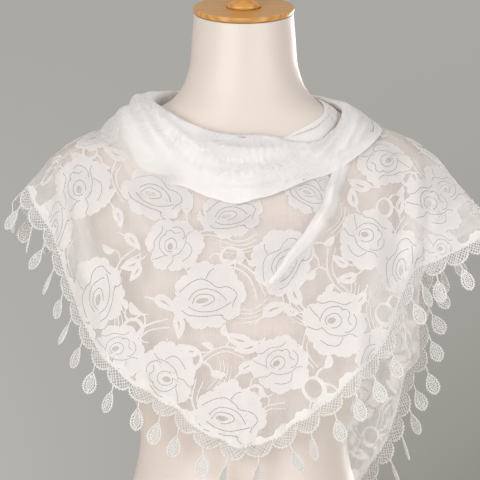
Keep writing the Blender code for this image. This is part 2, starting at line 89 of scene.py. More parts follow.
class Wire:
    """A socket of a node tree. Sums on it add Math nodes, and node() adds a node of any other kind."""

    def __init__(self, tree, socket=None):
        self.tree = tree
        self.socket = socket

    def __getitem__(self, name):
        """Another output of the same node."""
        return Wire(self.tree, self.socket.node.outputs[name])

    def node(self, kind, settings=None, sockets=None, output=0):
        """Adds a node: its settings first, then the values and links of its sockets."""
        made = self.tree.nodes.new(kind)
        for name, value in (settings or {}).items():
            if name == "stops":
                ramp = made.color_ramp.elements
                ramp[0].position, ramp[1].position = value[0][0], value[-1][0]
                for position, _ in value[1:-1]:
                    ramp.new(position)
                for stop, (_, colour) in zip(ramp, value):
                    stop.color = (*colour, 1)
            elif name == "captures":
                for title, sort in value.items():
                    made.capture_items.new(sort, title)
            else:
                setattr(made, name, value)
        for name, value in (sockets or {}).items():
            for one in value if isinstance(value, list) else [value]:
                if isinstance(one, Wire):
                    self.tree.links.new(one.socket, made.inputs[name])
                else:
                    made.inputs[name].default_value = one
        return Wire(self.tree, made.outputs[output] if len(made.outputs) else None)

    def sum_of(self, operation, first, second, clamp=False):
        return self.node("ShaderNodeMath", {"operation": operation, "use_clamp": clamp}, {0: first, 1: second})

    def __add__(self, other):
        return self.sum_of("ADD", self, other)

    __radd__ = __add__

    def __sub__(self, other):
        return self.sum_of("SUBTRACT", self, other)

    def __rsub__(self, other):
        return self.sum_of("SUBTRACT", other, self)

    def __mul__(self, other):
        return self.sum_of("MULTIPLY", self, other)

    __rmul__ = __mul__

    def __truediv__(self, other):
        return self.sum_of("DIVIDE", self, other)


def new_finish(name, roughness, **constants):
    """A finish, a wire to build its nodes from, and its shader with its constant numbers set."""
    finish = bpy.data.materials.new(name)
    finish.use_nodes = True
    shader = finish.node_tree.nodes["Principled BSDF"]
    shader.inputs["Roughness"].default_value = roughness
    for title, value in constants.items():
        shader.inputs[title.replace("_", " ").title()].default_value = value
    return finish, Wire(finish.node_tree), shader


def feed(node, socket, wire):
    wire.tree.links.new(wire.socket, node.inputs[socket])


def emboss(shader, height, strength, depth):
    """Raises the finish where the height is high, to a depth in metres."""
    relief = height.node("ShaderNodeBump", {}, {"Strength": strength, "Distance": depth, "Height": height})
    feed(shader, "Normal", relief)


def noise(place, scale, detail):
    return place.node("ShaderNodeTexNoise", {}, {"Vector": place, "Scale": scale, "Detail": detail})


def bands(place, direction, scale, distortion, detail, detail_scale=1.0):
    return place.node("ShaderNodeTexWave", {"wave_type": "BANDS", "bands_direction": direction}, {
        "Vector": place, "Scale": scale, "Distortion": distortion, "Detail": detail,
        "Detail Scale": detail_scale,
    })


def between(factor, first, second):
    """A colour that runs from the first to the second as the factor goes from 0 to 1."""
    sockets = {0: factor, 6: (*first, 1), 7: (*second, 1)}
    return factor.node("ShaderNodeMix", {"data_type": "RGBA"}, sockets, output=2)


def lit_through(shader, share, colour, closeness=None):
    """Lets a share of the light that falls on the far side glow through thin cloth, where the cloth is."""
    front = Wire(shader.id_data, shader.outputs[0])
    glow = front.node("ShaderNodeBsdfTranslucent", {}, {"Color": (*colour, 1)})
    if closeness is not None:
        clear = front.node("ShaderNodeBsdfTransparent")
        glow = front.node("ShaderNodeMixShader", {}, {0: closeness, 1: clear, 2: glow})
    both = front.node("ShaderNodeMixShader", {}, {0: share, 1: front, 2: glow})
    feed(shader.id_data.nodes["Material Output"], "Surface", both)


def new_piece(name, vertices, faces, finish):
    mesh = bpy.data.meshes.new(name)
    mesh.from_pydata([tuple(v) for v in vertices], [], faces)
    piece = bpy.data.objects.new(name, mesh)
    bpy.context.scene.collection.objects.link(piece)
    mesh.materials.append(finish)
    mesh.shade_smooth()
    return piece


def turn_faces_out(piece):
    work = bmesh.new()
    work.from_mesh(piece.data)
    bmesh.ops.recalc_face_normals(work, faces=work.faces)
    work.to_mesh(piece.data)
    work.free()


def lofted(name, rings, finish):
    """A closed skin through rings of equal point count, with a flat face at each end."""
    sides = len(rings[0])
    faces = []
    for ring in range(len(rings) - 1):
        for side in range(sides):
            a = ring * sides + side
            b = ring * sides + (side + 1) % sides
            faces.append((a, b, b + sides, a + sides))
    faces.append(tuple(range(sides))[::-1])
    faces.append(tuple(range((len(rings) - 1) * sides, len(rings) * sides)))
    piece = new_piece(name, np.concatenate(rings), faces, finish)
    turn_faces_out(piece)
    return piece


def form_ring(height, half_width, front, back, tilt):
    turn = np.linspace(0, 2 * np.pi, FORM_SIDES, endpoint=False)
    depth = np.where(np.cos(turn) > 0, front, back)
    radius = 1 / np.hypot(np.sin(turn) / half_width, np.cos(turn) / depth)
    y = -radius * np.cos(turn)
    return np.stack([radius * np.sin(turn), y, height + y * np.tan(np.radians(tilt))], axis=-1)


def resin_finish():
    """Matt cream resin: even, with faint clouding, a soft bloom on its gloss and a very fine skin."""
    finish, wire, shader = new_finish("cream moulded resin", 0.42, coat_weight=0.06)
    place = wire.node("ShaderNodeTexCoord", output="Object")
    clouds, skin = noise(place, 6.0, 3.0), noise(place, 900.0, 1.0)
    feed(shader, "Base Color", between(clouds, (0.685, 0.602, 0.553), (0.74, 0.66, 0.61)))
    feed(shader, "Roughness", 0.36 + 0.14 * clouds)
    emboss(shader, skin, 0.12, 0.0002)
    return finish


def make_torso():
    heights = [row[0] for row in FORM_SECTIONS]
    levels = np.unique(np.concatenate([
        np.linspace(low, high, RINGS_BETWEEN_SECTIONS + 1) for low, high in zip(heights, heights[1:])
    ]))
    columns = [smooth(FORM_SECTIONS, column, levels) for column in range(1, 5)]
    torso = lofted("form_skin", [form_ring(*row) for row in zip(levels, *columns)], resin_finish())
    torso.data.set_sharp_from_angle(angle=math.radians(SHARP_EDGE))
    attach(torso, "root")
    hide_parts("form_torso")


make_torso()


# The cap and its knob
# Two turned pieces of pale hardwood under amber varnish: a flat disc glued to the neck's planed top,
# and a knob on it. Both lean forward with the neck.
NECK_TOP_HEIGHT, NECK_TOP_TILT = 0.7147, 14.0
CAP_RADIUS, CAP_THICKNESS, CAP_ROUNDING = 0.0535, 0.0058, 0.0018
CAP_CORNER_RINGS = 7
KNOB_SEAT_GAP = 0.0003
KNOB = [  # radius, height above the cap
    (0.0178, 0.0000), (0.0185, 0.0008), (0.0186, 0.0022), (0.0180, 0.0036), (0.0165, 0.0050),
    (0.0125, 0.0070), (0.0097, 0.0092), (0.0085, 0.0116), (0.0085, 0.0140), (0.0102, 0.0168),
    (0.0135, 0.0200), (0.0156, 0.0234), (0.0168, 0.0270), (0.0171, 0.0300), (0.0165, 0.0330),
    (0.0148, 0.0364), (0.0120, 0.0390), (0.0085, 0.0409), (0.0045, 0.0419),
]
TURNED_SIDES = 96


def wood_finish():
    """Pale hardwood with fine long grain and pores under glossy amber varnish."""
    finish, wire, shader = new_finish("amber varnished wood", 0.38, coat_weight=0.2, coat_roughness=0.12)
    place = wire.node("ShaderNodeTexCoord", output="Object")
    along_grain = {"Vector": place, "Scale": (1.0, 9.0, 9.0), "Rotation": (0.24, 0.0, 0.35)}
    grain = wire.node("ShaderNodeMapping", {}, along_grain)
    drift, pores = noise(grain, 9.0, 4.0), noise(grain, 120.0, 2.0)
    figure = bands(grain, "Y", 6.0, 7.0, 3.0, 1.2)
    tone = wire.node("ShaderNodeValToRGB", {"stops": [
        (0.0, (0.47, 0.20, 0.045)), (0.45, (0.61, 0.295, 0.075)), (1.0, (0.73, 0.41, 0.12)),
    ]}, {"Fac": 0.55 * figure + 0.45 * drift})
    feed(shader, "Base Color", tone)
    feed(shader, "Roughness", 0.24 + 0.16 * pores)
    emboss(shader, pores, 0.25, 0.0003)
    return finish


def turned_on_neck(name, profile, rise, finish):
    """A piece turned about the neck's leaning axis; profile columns: radius, height."""
    turn = np.linspace(0, 2 * np.pi, TURNED_SIDES, endpoint=False)
    tilt = math.radians(NECK_TOP_TILT)
    rings = []
    for radius, height in profile:
        x, y = radius * np.sin(turn), -radius * np.cos(turn)
        z = np.full(TURNED_SIDES, height + rise)
        back = y * math.cos(tilt) - z * math.sin(tilt)
        up = NECK_TOP_HEIGHT + y * math.sin(tilt) + z * math.cos(tilt)
        rings.append(np.stack([x, back, up], axis=-1))
    piece = lofted(name, rings, finish)
    piece.data.set_sharp_from_angle(angle=math.radians(SHARP_EDGE))
    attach(piece, "root")
    return piece


def make_cap_and_knob():
    wood = wood_finish()
    corner = np.radians(np.linspace(0, 90, CAP_CORNER_RINGS))
    lower = [(CAP_RADIUS - CAP_ROUNDING * (1 - math.sin(a)), CAP_ROUNDING * (1 - math.cos(a))) for a in corner]
    upper = [(radius, CAP_THICKNESS - height) for radius, height in reversed(lower)]
    cap = turned_on_neck("cap", lower + upper, 0.0, wood)
    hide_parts("form_neck_cap")
    knob = turned_on_neck("cap_knob", KNOB, CAP_THICKNESS + KNOB_SEAT_GAP, wood)
    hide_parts("form_finial")


make_cap_and_knob()


# The shawl's front
# A triangle of soft raschel lace, laid with its long plain edge round the neck and its point at the waist.
# One layer of fine net, which the drape pulls into soft folds below the neck and off the shoulders.
CLOTH_WALL = 0.0012
COWL_OVERLAP = 0.010
FRONT_HEM = [  # angle, height
    (-90, 0.527), (-85, 0.507), (-80, 0.475), (-75, 0.440), (-70, 0.405), (-60, 0.362), (-50, 0.333),
    (-40, 0.316), (-30, 0.304), (-20, 0.284), (-10, 0.274), (0, 0.269), (10, 0.274), (20, 0.283),
    (30, 0.299), (40, 0.318), (50, 0.344), (58, 0.363), (63, 0.390), (67, 0.430), (71, 0.449),
    (76, 0.456), (82, 0.468), (90, 0.491),
]
COWL = [  # angle, height of the fold, height of the free edge, fullness against ROLL_FULLNESS
    (-150, 0.622, 0.590, 0.8), (-120, 0.622, 0.590, 1.0), (-90, 0.614, 0.592, 1.3), (-70, 0.605, 0.566, 1.3),
    (-56, 0.596, 0.536, 1.2), (-38, 0.586, 0.531, 1.1), (-20, 0.580, 0.519, 1.0), (-5, 0.578, 0.514, 1.0),
    (10, 0.579, 0.519, 1.0), (27, 0.578, 0.528, 0.9), (41, 0.573, 0.538, 0.8), (52, 0.574, 0.545, 0.7),
    (62, 0.585, 0.558, 0.7), (76, 0.602, 0.580, 0.7), (90, 0.611, 0.595, 0.7), (120, 0.620, 0.592, 0.8),
    (150, 0.622, 0.590, 0.8),
]
FRONT_FOLDS = [  # x and z of one end, x and z of the other, height, half width
    (0.112, 0.588, 0.091, 0.528, 0.0050, 0.008), (0.091, 0.528, 0.079, 0.494, 0.0050, 0.008),
    (0.079, 0.494, 0.030, 0.440, 0.0045, 0.009), (-0.144, 0.570, -0.097, 0.485, 0.0040, 0.010),
    (-0.172, 0.520, -0.158, 0.440, 0.0050, 0.010), (-0.190, 0.540, -0.186, 0.470, 0.0040, 0.008),
    (-0.060, 0.478, 0.045, 0.486, 0.0035, 0.012), (-0.085, 0.440, 0.010, 0.425, 0.0030, 0.014),
    (0.140, 0.560, 0.132, 0.430, 0.0040, 0.012), (0.178, 0.550, 0.176, 0.470, 0.0045, 0.010),
]
FOLD_GATHERS = [0.4, 0.4, 0.4, 0.3, 0.6, 0.5, 0.3, 0.2, 0.3, 0.5]  # how closely the net doubles in each
FRONT_CREASES = [  # x and z of one end, of a point between, and of the other; height, half width
    (-0.128, 0.560, -0.112, 0.520, -0.086, 0.470, 0.0018, 0.0045),
    (-0.108, 0.550, -0.100, 0.528, -0.092, 0.500, -0.0014, 0.0050),
    (-0.160, 0.545, -0.152, 0.500, -0.148, 0.455, 0.0020, 0.0045),
    (-0.184, 0.500, -0.178, 0.470, -0.170, 0.420, 0.0022, 0.0040),
    (-0.166, 0.460, -0.150, 0.420, -0.138, 0.385, 0.0016, 0.0050),
    (-0.126, 0.470, -0.110, 0.420, -0.098, 0.380, 0.0012, 0.0060),
    (-0.078, 0.520, -0.060, 0.505, -0.030, 0.496, 0.0016, 0.0050),
    (-0.030, 0.500, 0.004, 0.493, 0.040, 0.500, 0.0018, 0.0045),
    (-0.052, 0.468, -0.010, 0.458, 0.030, 0.462, 0.0012, 0.0055),
    (0.052, 0.505, 0.060, 0.490, 0.050, 0.468, 0.0015, 0.0050),
    (0.104, 0.520, 0.094, 0.480, 0.070, 0.440, 0.0016, 0.0055),
    (0.070, 0.470, 0.052, 0.446, 0.022, 0.424, -0.0012, 0.0060),
    (0.118, 0.560, 0.110, 0.520, 0.100, 0.470, 0.0018, 0.0050),
    (0.132, 0.470, 0.122, 0.420, 0.112, 0.370, 0.0014, 0.0060),
    (0.156, 0.555, 0.152, 0.510, 0.150, 0.460, 0.0022, 0.0045),
    (0.196, 0.540, 0.198, 0.505, 0.196, 0.470, 0.0020, 0.0045),
    (0.160, 0.450, 0.150, 0.420, 0.146, 0.395, 0.0016, 0.0050),
    (-0.120, 0.360, -0.080, 0.330, -0.040, 0.300, 0.0012, 0.0060),
    (0.020, 0.300, 0.060, 0.318, 0.100, 0.345, 0.0014, 0.0055),
    (-0.020, 0.400, 0.020, 0.372, 0.068, 0.358, 0.0010, 0.0070),
]
FRONT_COLUMNS, FRONT_ROWS = 161, 111
RESTING_LIFT, HANGING_LIFT = 0.0010, 0.0040
FREE_FROM, FOLDED_FROM = (0.02, 0.35), (0.05, 0.16)  # shares of the fall where the cloth hangs free, and folds
HEM_WAVE, HEM_WAVES_A_TURN, WAVED_FROM = 0.0045, 9.0, 0.35
HEM_RIPPLE, RIPPLED_FROM = 0.0026, 0.72
HEM_SWAG, SWAG_CLEAR_OF_ENDS = 0.0026, 12
CREASE_SPOTS, CREASE_ENDS = 15, (0.04, 0.96)

LEVELS = np.linspace(0.0, 0.64, 321)
HANGING_INWARD, BUST_HEIGHT = 0.06, 0.42


def cover_column(column):
    """One measure of the form's sections, as wide at each level as the widest section at or above it."""
    return np.maximum.accumulate(smooth(FORM_SECTIONS, column, LEVELS)[::-1])[::-1]


COVER_WIDTH, COVER_FRONT, COVER_BACK = (cover_column(column) for column in (1, 2, 3))
SHOULDER_END_HEIGHT, FLARE_MIDDLE = 0.566, 92.0
FLARE_RUN_LEFT, FLARE_REACH_LEFT = 0.85, 8.0
FLARE_RUN_RIGHT, FLARE_REACH_RIGHT = 0.79, 15.0
FLARE_REACH_BEHIND = 9.0
FLARE_FULL_DROP, FLARE_ENDS_DROP = 0.085, 0.150


def ease(value, low, high):
    """0 below low, 1 above high, and smooth between them."""
    t = np.clip((value - low) / (high - low), 0, 1)
    return t * t * (3 - 2 * t)


def flare(angle, z):
    """Extra width where the cloth stands out past a shoulder's end."""
    run = np.where(angle < 0, FLARE_RUN_LEFT, FLARE_RUN_RIGHT)
    reach = np.where(angle < 0, FLARE_REACH_LEFT, FLARE_REACH_RIGHT)
    beyond = np.abs(angle) - FLARE_MIDDLE
    reach = np.where(beyond > 0, FLARE_REACH_BEHIND, reach)
    drop = np.clip(SHOULDER_END_HEIGHT - z, 0, None)
    fading = 1 - ease(drop, FLARE_FULL_DROP, FLARE_ENDS_DROP)
    return run * drop * fading * np.exp(-((beyond / reach) ** 2))


def cover(angle, z):
    """Points of the surface that the cloth hangs on."""
    width = np.interp(z, LEVELS, COVER_WIDTH) + flare(angle, z)
    front = np.interp(z, LEVELS, COVER_FRONT) - HANGING_INWARD * np.clip(BUST_HEIGHT - z, 0, None)
    back = np.interp(z, LEVELS, COVER_BACK)
    turn = np.radians(angle)
    depth = np.where(np.cos(turn) > 0, front, back)
    radius = 1 / np.hypot(np.sin(turn) / width, np.cos(turn) / depth)
    return np.stack([radius * np.sin(turn), -radius * np.cos(turn), z], axis=-1)


def unit(vectors):
    return vectors / np.linalg.norm(vectors, axis=-1, keepdims=True)


def lifted(angle, z, lift):
    """Points that lie clear of the cover by a distance along its outward direction."""
    turn_step, rise_step = 0.5, 0.002
    along = cover(angle + turn_step, z) - cover(angle - turn_step, z)
    up = cover(angle, z + rise_step) - cover(angle, z - rise_step)
    return cover(angle, z) + unit(np.cross(along, up)) * np.asarray(lift)[..., None]


def run_along(points):
    """Length along the first axis of a line or grid of points, from the first of them to each."""
    steps = np.linalg.norm(np.diff(points, axis=0), axis=-1)
    return np.concatenate([np.zeros_like(steps[:1]), np.cumsum(steps, axis=0)])


def down_the_cover(angles, tops, bottoms, shares):
    """Heights, a row for each angle, that part the run down over the cover by the given shares."""
    samples = 160
    heights = []
    for angle, top, bottom in zip(angles, tops, bottoms):
        z = np.linspace(top, bottom, samples)
        run = run_along(cover(np.full(samples, angle), z))
        heights.append(np.interp(np.asarray(shares) * run[-1], run, z))
    return np.array(heights)


def ridge(points, row):
    """Height of one straight fold at each point, seen from the front."""
    x0, z0, x1, z1, height, half_width = row
    run = np.array([x1 - x0, z1 - z0])
    length = np.linalg.norm(run)
    across = points[..., [0, 2]] - np.array([x0, z0])
    along = across @ run / length
    beyond = np.maximum(0, np.maximum(-along, along - length))
    aside = (across[..., 0] * run[1] - across[..., 1] * run[0]) / length
    return height * np.exp(-(aside**2 + beyond**2) / half_width**2)


def crease(points, row):
    """Height of one bent crease that is deepest at its middle and dies out at both ends."""
    first, between_ends, last = np.array(row[:6]).reshape(3, 2)
    height, half_width = row[6:]
    share = np.linspace(0, 1, CREASE_SPOTS)[:, None]
    bend = 2 * between_ends - (first + last) / 2
    path = (1 - share) ** 2 * first + 2 * share * (1 - share) * bend + share**2 * last
    apart = np.sum((points[..., None, [0, 2]] - path) ** 2, axis=-1)
    taper = np.sin(np.pi * np.clip(share[:, 0], *CREASE_ENDS))[apart.argmin(axis=-1)]
    return height * taper * np.exp(-apart.min(axis=-1) / half_width**2)


def front_lift(points, angle, share):
    """Lift of the front: resting at the top, then free, with its folds, its creases and an uneven hem."""
    lift = RESTING_LIFT + (HANGING_LIFT - RESTING_LIFT) * ease(share, *FREE_FROM)
    folded = ease(share, *FOLDED_FROM)
    for row in FRONT_FOLDS:
        lift = lift + ridge(points, row) * folded
    for row in FRONT_CREASES:
        lift = lift + crease(points, row) * folded
    turn = np.radians(angle)
    wave = 0.5 + 0.5 * np.sin(HEM_WAVES_A_TURN * turn + 1.6 * np.sin(2.3 * turn + 0.8))
    coarse = 0.55 * np.sin(23.0 * turn + 2.0 * np.sin(3.1 * turn))
    ripple = coarse + 0.45 * np.sin(37.0 * turn + 1.0 + np.sin(5.0 * turn))
    swing = HEM_WAVE * wave * ease(share, WAVED_FROM, 1.0)
    return lift + (swing + HEM_RIPPLE * (0.8 + ripple) * ease(share, RIPPLED_FROM, 1.0))


CUT_ANGLES = np.linspace(-92.0, 92.0, 369)
CUT_LEVELS = np.linspace(0.22, 0.62, 401)


def cut_tables():
    """Flat width and height of the front's cut at each angle and level, measured over the cover."""
    angle, z = np.meshgrid(CUT_ANGLES, CUT_LEVELS, indexing="ij")
    points = cover(angle, z)
    across = run_along(points)
    up = run_along(points.swapaxes(0, 1)).T
    bust = np.searchsorted(CUT_LEVELS, BUST_HEIGHT)
    return across - across[len(CUT_ANGLES) // 2], up - up[:, bust : bust + 1]


CUT_ACROSS, CUT_UP = cut_tables()


def cut_place(angle, z):
    """Where a point of the front lies on its flat cut, in metres from the middle of the bust."""
    column = np.clip((angle - CUT_ANGLES[0]) / (CUT_ANGLES[1] - CUT_ANGLES[0]), 0, len(CUT_ANGLES) - 1.001)
    row = np.clip((z - CUT_LEVELS[0]) / (CUT_LEVELS[1] - CUT_LEVELS[0]), 0, len(CUT_LEVELS) - 1.001)
    i, j = column.astype(int), row.astype(int)
    s, t = column - i, row - j
    found = []
    for table in (CUT_ACROSS, CUT_UP):
        low = table[i, j] * (1 - s) + table[i + 1, j] * s
        high = table[i, j + 1] * (1 - s) + table[i + 1, j + 1] * s
        found.append(low * (1 - t) + high * t)
    return np.stack(found, axis=-1)


def net_finish():
    """Fine white net: upright wales and slack cross threads, mostly open, closer where it gathers in folds."""
    finish, wire, shader = new_finish("fine white net", 0.62, sheen_weight=0.3, sheen_roughness=0.4)
    cut = wire.node("ShaderNodeUVMap", {"uv_map": "Cut"})
    wales = bands(cut, "X", 175.0, 1.6, 2.0, 2.0)
    threads = bands(cut, "DIAGONAL", 190.0, 0.8, 1.0)
    slack = noise(cut, 24.0, 3.0)
    streaks = noise(wire.node("ShaderNodeMapping", {}, {"Vector": cut, "Scale": (260.0, 12.0, 1.0)}), 1.0, 2.0)
    gather = wire.node("ShaderNodeAttribute", {"attribute_name": "gather"}, output=2)
    closeness = 0.33 + 0.06 * wales + 0.03 * threads + 0.12 * slack + 0.08 * streaks + 0.50 * gather
    feed(shader, "Alpha", closeness)
    feed(shader, "Base Color", between(slack, (0.91, 0.865, 0.865), (0.955, 0.93, 0.93)))
    lit_through(shader, 0.40, (0.95, 0.935, 0.925), closeness)
    emboss(shader, wales + threads, 0.5, 0.0003)
    return finish


def grid_faces(columns, rows):
    return [
        (c * rows + r, c * rows + r + 1, (c + 1) * rows + r + 1, (c + 1) * rows + r)
        for c in range(columns - 1)
        for r in range(rows - 1)
    ]


def new_sheet(name, points, cut, finish, gather=None):
    """A single layer of cloth from a grid of points, with the place of each on the flat cut as its UV map."""
    columns, rows = points.shape[:2]
    faces = grid_faces(columns, rows)
    flat_points = points.reshape(-1, 3)
    a, b, d = (flat_points[[face[i] for face in faces]] for i in (0, 1, 3))
    facing = np.cross(b - a, d - a)
    if np.sum(facing * ((a + b) / 2 * np.array([1.0, 1.0, 0.0]))) < 0:
        faces = [face[::-1] for face in faces]
    sheet = new_piece(name, flat_points, faces, finish)
    layer = sheet.data.uv_layers.new(name="Cut")
    corner = np.zeros(len(sheet.data.loops), dtype=int)
    sheet.data.loops.foreach_get("vertex_index", corner)
    layer.data.foreach_set("uv", cut.reshape(-1, 2)[corner].astype(np.float32).ravel())
    closer = sheet.data.attributes.new("gather", "FLOAT", "POINT")
    if gather is not None:
        closer.data.foreach_set("value", gather.ravel())
    return sheet


NET = net_finish()


def make_front():
    angle = np.linspace(-90, 90, FRONT_COLUMNS)
    tops = smooth(COWL, 2, angle) + COWL_OVERLAP
    turn = np.radians(angle)
    swag = 0.6 * np.sin(15.0 * turn + 1.4 * np.sin(4.0 * turn)) + 0.4 * np.sin(31.0 * turn + 0.6)
    hems = smooth(FRONT_HEM, 1, angle) + HEM_SWAG * swag * ease(90 - np.abs(angle), 0, SWAG_CLEAR_OF_ENDS)
    share = np.linspace(0, 1, FRONT_ROWS)
    z = down_the_cover(angle, tops, hems, share)
    around = np.repeat(angle[:, None], FRONT_ROWS, axis=1)
    down = np.repeat(share[None, :], FRONT_COLUMNS, axis=0)
    resting = cover(around, z)
    points = lifted(around, z, front_lift(resting, around, down))
    gather = sum(closer * ridge(resting, row) / row[4] for row, closer in zip(FRONT_FOLDS, FOLD_GATHERS))
    sheet = new_sheet("lace_front", points, cut_place(around, z), NET, np.clip(gather, 0, 1))
    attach(sheet, "root")
    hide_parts("shawl_front")
    return sheet, points


front_sheet, front_points = make_front()


# The cowl
# The shawl's long plain edge, folded outward round the neck in one full roll and let fall over the front.
# The lace lies double there, so it looks whiter: it is closer, and its colour is painted whiter than the
# single net's for the light the two layers send back. Its free edge is a narrow turned hem.
ROLL_FULLNESS = 0.012
COWL_JOIN, SEAM_TURN = 104.0, 0.17
COWL_INSIDE = [(1.0, 0.12), (0.55, 0.20), (0.15, 0.32)]  # share of the run from the fold down, lift
COWL_OUTSIDE = [(-0.10, 0.72), (0.06, 1.10), (0.28, 1.30), (0.52, 1.16), (0.78, 0.86), (1.0, 0.62)]
COWL_CREASES = [  # x and z of one end, of a point between, and of the other; height, half width
    (-0.127, 0.612, -0.118, 0.575, -0.101, 0.540, 0.0032, 0.0060),
    (-0.112, 0.620, -0.086, 0.574, -0.050, 0.532, 0.0036, 0.0060),
    (-0.120, 0.616, -0.104, 0.580, -0.078, 0.540, -0.0026, 0.0050),
    (-0.096, 0.620, -0.060, 0.578, -0.012, 0.548, 0.0034, 0.0055),
    (-0.100, 0.612, -0.072, 0.574, -0.034, 0.540, -0.0024, 0.0045),
    (-0.060, 0.584, -0.006, 0.566, 0.052, 0.572, 0.0022, 0.0045),
    (-0.064, 0.556, -0.008, 0.540, 0.050, 0.556, 0.0026, 0.0050),
    (-0.050, 0.566, -0.004, 0.553, 0.044, 0.563, -0.0018, 0.0040),
    (-0.036, 0.534, 0.002, 0.526, 0.040, 0.536, 0.0020, 0.0045),
    (0.086, 0.612, 0.074, 0.590, 0.054, 0.562, -0.0034, 0.0035),
    (0.104, 0.612, 0.092, 0.582, 0.066, 0.552, 0.0032, 0.0055),
    (0.118, 0.602, 0.108, 0.580, 0.092, 0.562, 0.0026, 0.0050),
    (0.096, 0.604, 0.084, 0.580, 0.062, 0.556, -0.0022, 0.0035),
    (0.126, 0.596, 0.122, 0.584, 0.110, 0.570, 0.0018, 0.0045),
]
NAPE_CREASES = [  # x and z of one end, of a point between, and of the other; height, half width
    (-0.110, 0.616, -0.080, 0.606, -0.040, 0.600, 0.0024, 0.0050),
    (-0.060, 0.612, -0.010, 0.604, 0.050, 0.606, 0.0022, 0.0045),
    (0.030, 0.614, 0.070, 0.604, 0.112, 0.602, 0.0024, 0.0055),
    (-0.030, 0.598, 0.010, 0.594, 0.060, 0.598, -0.0014, 0.0040),
]
COWL_ROWS, COWL_COLUMNS, NAPE_COLUMNS = 61, 185, 97
CREASE_GAIN, CREASED_FROM = 1.5, (0.38, 0.55)
FLUTTER, FLUTTERED_FROM = 0.0012, 0.7
LEAST_LIFT = 0.0011
SETTLED_LIFT, SETTLED_FROM, SETTLED_FADE = 0.0078, 0.62, 0.85  # the edge sinks into the front on the -X side
SETTLED_STARTS, SETTLED_ENDS = (-96, -74), (-48, -30)


def doubled_finish():
    """The same net where it lies double: closer, so little shows through, and painted whiter than the single
    net for the light that its two layers send back.
    """
    finish, wire, shader = new_finish("white net folded double", 0.6, sheen_weight=0.3, sheen_roughness=0.4)
    cut = wire.node("ShaderNodeUVMap", {"uv_map": "Cut"})
    wales = bands(cut, "X", 130.0, 1.5, 2.0, 2.0)
    slack = noise(cut, 30.0, 3.0)
    thinned = wire.node("ShaderNodeAttribute", {"attribute_name": "gather"}, output=2)
    closeness = (0.84 + 0.02 * wales + 0.14 * slack) * (1.0 - thinned)
    feed(shader, "Alpha", closeness)
    # painted light: a whiter colour than the single net's, for the light that the two layers scatter back
    feed(shader, "Base Color", between(slack, (0.945, 0.93, 0.93), (0.97, 0.96, 0.96)))
    lit_through(shader, 0.25, (0.96, 0.95, 0.945), closeness)
    emboss(shader, 0.4 * wales + slack, 0.3, 0.0003)
    return finish


DOUBLED = doubled_finish()


def through_stations(values, rows):
    """Rows of values that run smoothly through the given stations, which stand along the second axis."""
    stations = values.shape[1]
    at = np.linspace(0, stations - 1, rows)
    i = np.clip(at.astype(int), 0, stations - 2)
    t = at - i
    before, beyond = 2 * values[:, :1] - values[:, 1:2], 2 * values[:, -1:] - values[:, -2:-1]
    padded = np.concatenate([before, values, beyond], axis=1)
    p0, p1, p2, p3 = (padded[:, i + k] for k in range(4))
    square, cube = 2 * p0 - 5 * p1 + 4 * p2 - p3, 3 * p1 - p0 - 3 * p2 + p3
    return 0.5 * (2 * p1 + (p2 - p0) * t + square * t**2 + cube * t**3)


def measured_cut(points):
    """The flat place of each point of a grid, measured along its middle row and its middle column."""
    columns, rows = points.shape[:2]
    across, down = run_along(points[:, rows // 2]), run_along(points[columns // 2])
    return np.stack(np.meshgrid(across, -down, indexing="ij"), axis=-1)


def make_cowl(name, node, first, last, columns, creases):
    angle = np.linspace(first, last, columns)
    listed = (angle + 180) % 360 - 180
    fold, edge = smooth(COWL, 1, listed), smooth(COWL, 2, listed)
    fullness = ROLL_FULLNESS * smooth(COWL, 3, listed)
    beneath = edge + COWL_OVERLAP + CLOTH_WALL
    heights = [fold + (beneath - fold) * share for share, _ in COWL_INSIDE]
    heights += [fold + (edge - fold) * share for share, _ in COWL_OUTSIDE]
    lifts = [fullness * lift for _, lift in COWL_INSIDE + COWL_OUTSIDE]
    z = through_stations(np.stack(heights, axis=1), COWL_ROWS)
    lift = through_stations(np.stack(lifts, axis=1), COWL_ROWS)
    around = np.repeat(angle[:, None], COWL_ROWS, axis=1)
    down = np.linspace(0, 1, COWL_ROWS)
    for row in creases:
        lift = lift + CREASE_GAIN * crease(cover(around, z), row) * ease(down, *CREASED_FROM)
    turn = np.radians(around)
    flutter = np.sin(11.0 * turn + 2.0 * np.sin(2.7 * turn)) * ease(down, FLUTTERED_FROM, 1.0)
    lift = np.maximum(lift + FLUTTER * flutter, LEAST_LIFT)
    settled = ease(down, SETTLED_FROM, 1.0) * ease(around, *SETTLED_STARTS) * (1 - ease(around, *SETTLED_ENDS))
    points = lifted(around, z, lift * (1 - settled) + SETTLED_LIFT * settled)
    sheet = new_sheet(name, points, measured_cut(points), DOUBLED, SETTLED_FADE * settled**2)
    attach(sheet, "root")
    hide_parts(node)
    return sheet, points


cowl_sheet, cowl_points = make_cowl(
    "lace_cowl_front", "shawl_cowl_front", -COWL_JOIN, COWL_JOIN, COWL_COLUMNS, COWL_CREASES)
nape_sheet, nape_points = make_cowl(
    "lace_cowl_nape", "shawl_cowl_nape", COWL_JOIN + 2 * SEAM_TURN, 360 - COWL_JOIN - 2 * SEAM_TURN,
    NAPE_COLUMNS, NAPE_CREASES)


# The inner turn at the neck
# A narrow strip of the plain edge that turns up inside the cowl beside the neck on the +X side.
# It is lace laid double with a hemmed rim.
NECK_BAND = [(34, 0.5835), (45, 0.590), (60, 0.601), (75, 0.614), (90, 0.6225), (104, 0.625)]
BAND_CLEARANCE, BAND_LEAST_WIDTH = 0.004, 0.004
BAND_LIFT, BAND_BULGE, BAND_RIPPLE = 0.0016, 0.0008, 0.0004
BAND_COLUMNS, BAND_ROWS = 61, 9


